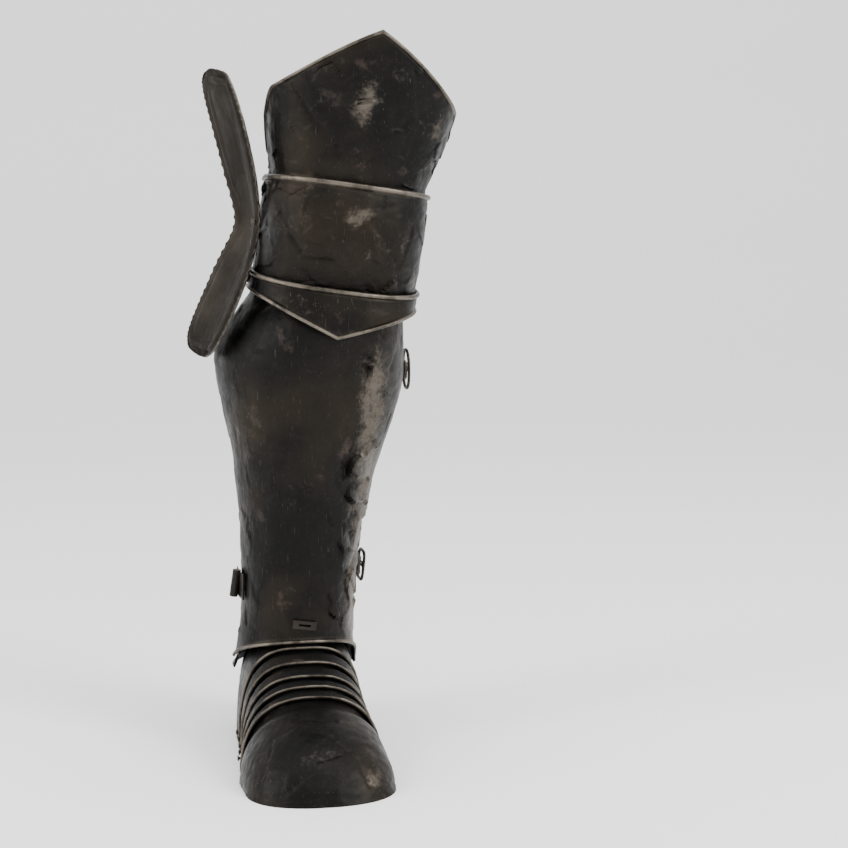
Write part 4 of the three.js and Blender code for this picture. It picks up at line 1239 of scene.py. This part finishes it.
def stitches(name, surface, width, body):
    places, axes = [], []
    for v in (STITCH_INSET / width, 1 - STITCH_INSET / width):
        here, along = stitch_line(surface, v)
        places.append(here)
        axes.append(along)
    places, axes = np.concatenate(places), np.concatenate(axes)
    return repeat(name, stitch_template, on_leg(places), axes @ LEG_TURN.T, np.ones(len(places)), THREAD,
                  body, [], 0.1)


for label, share, _, _ in CLOSURES:
    stitches(f"look_stitches_{label}", strap_band(-share * SHIN), STRAP_WIDTH, "greave")
stitches("look_stitches_knee", lambda u, v: knee_strap(-u, v), KNEE_STRAP_WIDTH, "knee_cop")
for template in (head_template, stitch_template):
    bpy.data.objects.remove(template)

# Camera: the leg stands in the left half of the picture, as in the photograph
AZIMUTH = math.radians(-11)
ELEVATION = math.radians(8)
LENS = 85
SENSOR = 36
FIELD = 0.785
LEG_ASIDE = 0.088
AIM_DROP = 0.022
DISTANCE = FIELD * LENS / SENSOR
level = math.cos(ELEVATION)
back = Vector((math.sin(AZIMUTH) * level, -math.cos(AZIMUTH) * level, math.sin(ELEVATION)))
right = Vector((math.cos(AZIMUTH), math.sin(AZIMUTH), 0))
target = Vector([(low + high) / 2 for low, high in zip(*before)])
target += right * LEG_ASIDE - Vector((0, 0, AIM_DROP))
camera_data = bpy.data.cameras.new("camera")
camera_data.lens, camera_data.sensor_width = LENS, SENSOR
camera = bpy.data.objects.new("camera", camera_data)
camera.location = target + back * DISTANCE
camera.rotation_mode = "QUATERNION"
camera.rotation_quaternion = (-back).to_track_quat("-Z", "Y")
bpy.context.scene.collection.objects.link(camera)
bpy.context.scene.camera = camera

# Floor with a curved rise behind, and soft studio light
FLOOR_HALF = 6.0
SWEEP = [(-6.0, 0.0), (2.2, 0.0), (2.8, 0.08), (3.3, 0.3), (3.7, 0.75), (3.9, 1.4), (4.0, 6.0)]
sweep_mesh = bpy.data.meshes.new("floor")
sweep_points = [(x, y, z) for y, z in SWEEP for x in (-FLOOR_HALF, FLOOR_HALF)]
sweep_faces = [(2 * i, 2 * i + 1, 2 * i + 3, 2 * i + 2) for i in range(len(SWEEP) - 1)]
sweep_mesh.from_pydata(sweep_points, [], sweep_faces)
sweep_mesh.shade_smooth()
floor = bpy.data.objects.new("floor", sweep_mesh)
bpy.context.scene.collection.objects.link(floor)
floor_look = bpy.data.materials.new("pale_floor")
floor_look.use_nodes = True
floor_shader = floor_look.node_tree.nodes["Principled BSDF"]
floor_shader.inputs["Base Color"].default_value = (0.95, 0.95, 0.95, 1)
floor_shader.inputs["Roughness"].default_value = 0.8
floor.data.materials.append(floor_look)

world = bpy.data.worlds.new("studio")
bpy.context.scene.world = world
world.use_nodes = True
world.node_tree.nodes["Background"].inputs["Color"].default_value = (1, 1, 1, 1)
world.node_tree.nodes["Background"].inputs["Strength"].default_value = 1.4


def soft_light(name, place, power, size, towards=(0, 0, 0.35)):
    data = bpy.data.lights.new(name, "AREA")
    data.shape, data.size, data.size_y, data.energy = "RECTANGLE", size[0], size[1], power
    light = bpy.data.objects.new(name, data)
    light.location = place
    light.rotation_mode = "QUATERNION"
    light.rotation_quaternion = (Vector(towards) - Vector(place)).to_track_quat("-Z", "Y")
    bpy.context.scene.collection.objects.link(light)
    return light


soft_light("key", (1.5, -1.3, 1.5), 48, (0.7, 1.6))
soft_light("side", (-1.7, -0.5, 1.1), 26, (0.5, 1.5))
soft_light("over", (0.1, -0.3, 2.4), 22, (1.4, 1.4))
